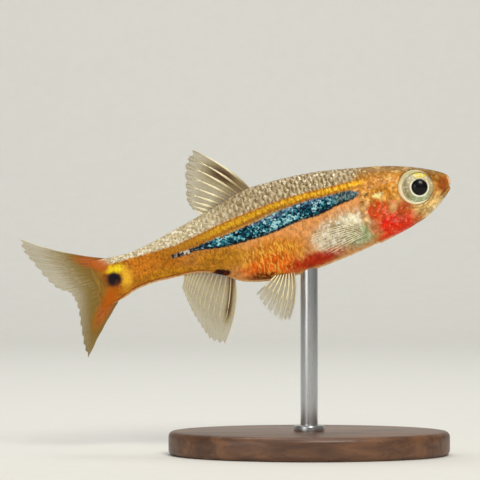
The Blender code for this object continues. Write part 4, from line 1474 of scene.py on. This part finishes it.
def make_backdrop():
    """A sheet that lies flat under the fish and curves up behind it."""
    bm = bmesh.new()
    bmesh.ops.create_grid(bm, x_segments=2, y_segments=BACKDROP_ROWS, size=1.0)
    flat_run = FLOOR_FAR - FLOOR_NEAR
    bend_run = CURVE_RADIUS * math.pi / 2
    total = flat_run + bend_run + WALL_HIGH
    for vert in bm.verts:
        run = (vert.co.y + 1) / 2 * total
        bend = min(max(run - flat_run, 0.0), bend_run) / CURVE_RADIUS
        y = FLOOR_NEAR + min(run, flat_run) + CURVE_RADIUS * math.sin(bend)
        z = CURVE_RADIUS * (1 - math.cos(bend)) + max(run - flat_run - bend_run, 0.0)
        vert.co = (vert.co.x * FLOOR_HALF, y, z)
    mesh = bpy.data.meshes.new("backdrop")
    bm.to_mesh(mesh)
    bm.free()
    mesh.shade_smooth()
    backdrop = bpy.data.objects.new("backdrop", mesh)
    bpy.context.scene.collection.objects.link(backdrop)
    material, wire = start_material("backdrop_paper")
    at = wire.node("TexCoord", None, None, "Object")
    fibre = at.node("TexNoise", None, {"Vector": at, "Scale": 900.0, "Detail": 3.0})
    colour = mixed(fibre, (0.88, 0.88, 0.86), (0.9, 0.9, 0.88))
    mesh.materials.append(finish_material(material, wire, Base_Color=colour, Roughness=0.9))


make_backdrop()

# %% Lights
FISH_MIDDLE, WALL_MIDDLE, WHITE = (0.0, 0.0, 0.0095), (0.0, 0.19, 0.03), (1.0, 1.0, 1.0)
# Each light: its name, place and size in metres, watts, colour, and the place that it faces
LIGHTS = (
    ("key", (0.05, -0.18, 0.17), 0.1, 0.385, (1.0, 0.955, 0.88), FISH_MIDDLE),
    ("fill", (-0.15, -0.2, 0.05), 0.12, 0.1, (1.0, 0.97, 0.93), FISH_MIDDLE),
    ("rim", (-0.02, 0.04, 0.16), 0.08, 0.06, WHITE, FISH_MIDDLE),
    ("wall", (0.0, 0.03, 0.2), 0.12, 0.12, WHITE, WALL_MIDDLE),
)
STUDIO_AIR, AIR_STRENGTH = (1.0, 0.98, 0.95, 1.0), 0.22
for name, spot, size, watts, glow_colour, aim in LIGHTS:
    light = bpy.data.lights.new(name, "AREA")
    light.shape = "SQUARE"
    light.size = size
    light.energy = watts
    light.color = glow_colour
    lamp = bpy.data.objects.new(name, light)
    lamp.location = spot
    facing = Vector(aim) - Vector(spot)
    lamp.rotation_euler = facing.to_track_quat("-Z", "Y").to_euler()
    bpy.context.scene.collection.objects.link(lamp)
world = bpy.data.worlds.new("studio")
world.use_nodes = True
air = world.node_tree.nodes["Background"]
air.inputs["Color"].default_value = STUDIO_AIR
air.inputs["Strength"].default_value = AIR_STRENGTH
bpy.context.scene.world = world
bpy.context.scene.view_settings.view_transform = "Standard"
print("lights:", ", ".join(row[0] for row in LIGHTS))

# %% Camera
PHOTO_PIXELS, PIXEL_MM, CAMERA_AWAY, SENSOR_MM = 480, 0.0462, 120.0, 36.0
VIEW_X, VIEW_Z, CLIP_START = 0.28, 9.92, 0.005
camera_data = bpy.data.cameras.new("camera")
camera_data.sensor_width = SENSOR_MM
camera_data.lens = SENSOR_MM * CAMERA_AWAY / (PHOTO_PIXELS * PIXEL_MM)
camera_data.clip_start = CLIP_START
camera = bpy.data.objects.new("camera", camera_data)
camera.location = (VIEW_X * MM, -CAMERA_AWAY * MM, VIEW_Z * MM)
camera.rotation_euler = (math.pi / 2, 0.0, 0.0)
bpy.context.scene.collection.objects.link(camera)
bpy.context.scene.camera = camera
print("lens, mm:", round(camera_data.lens, 1))
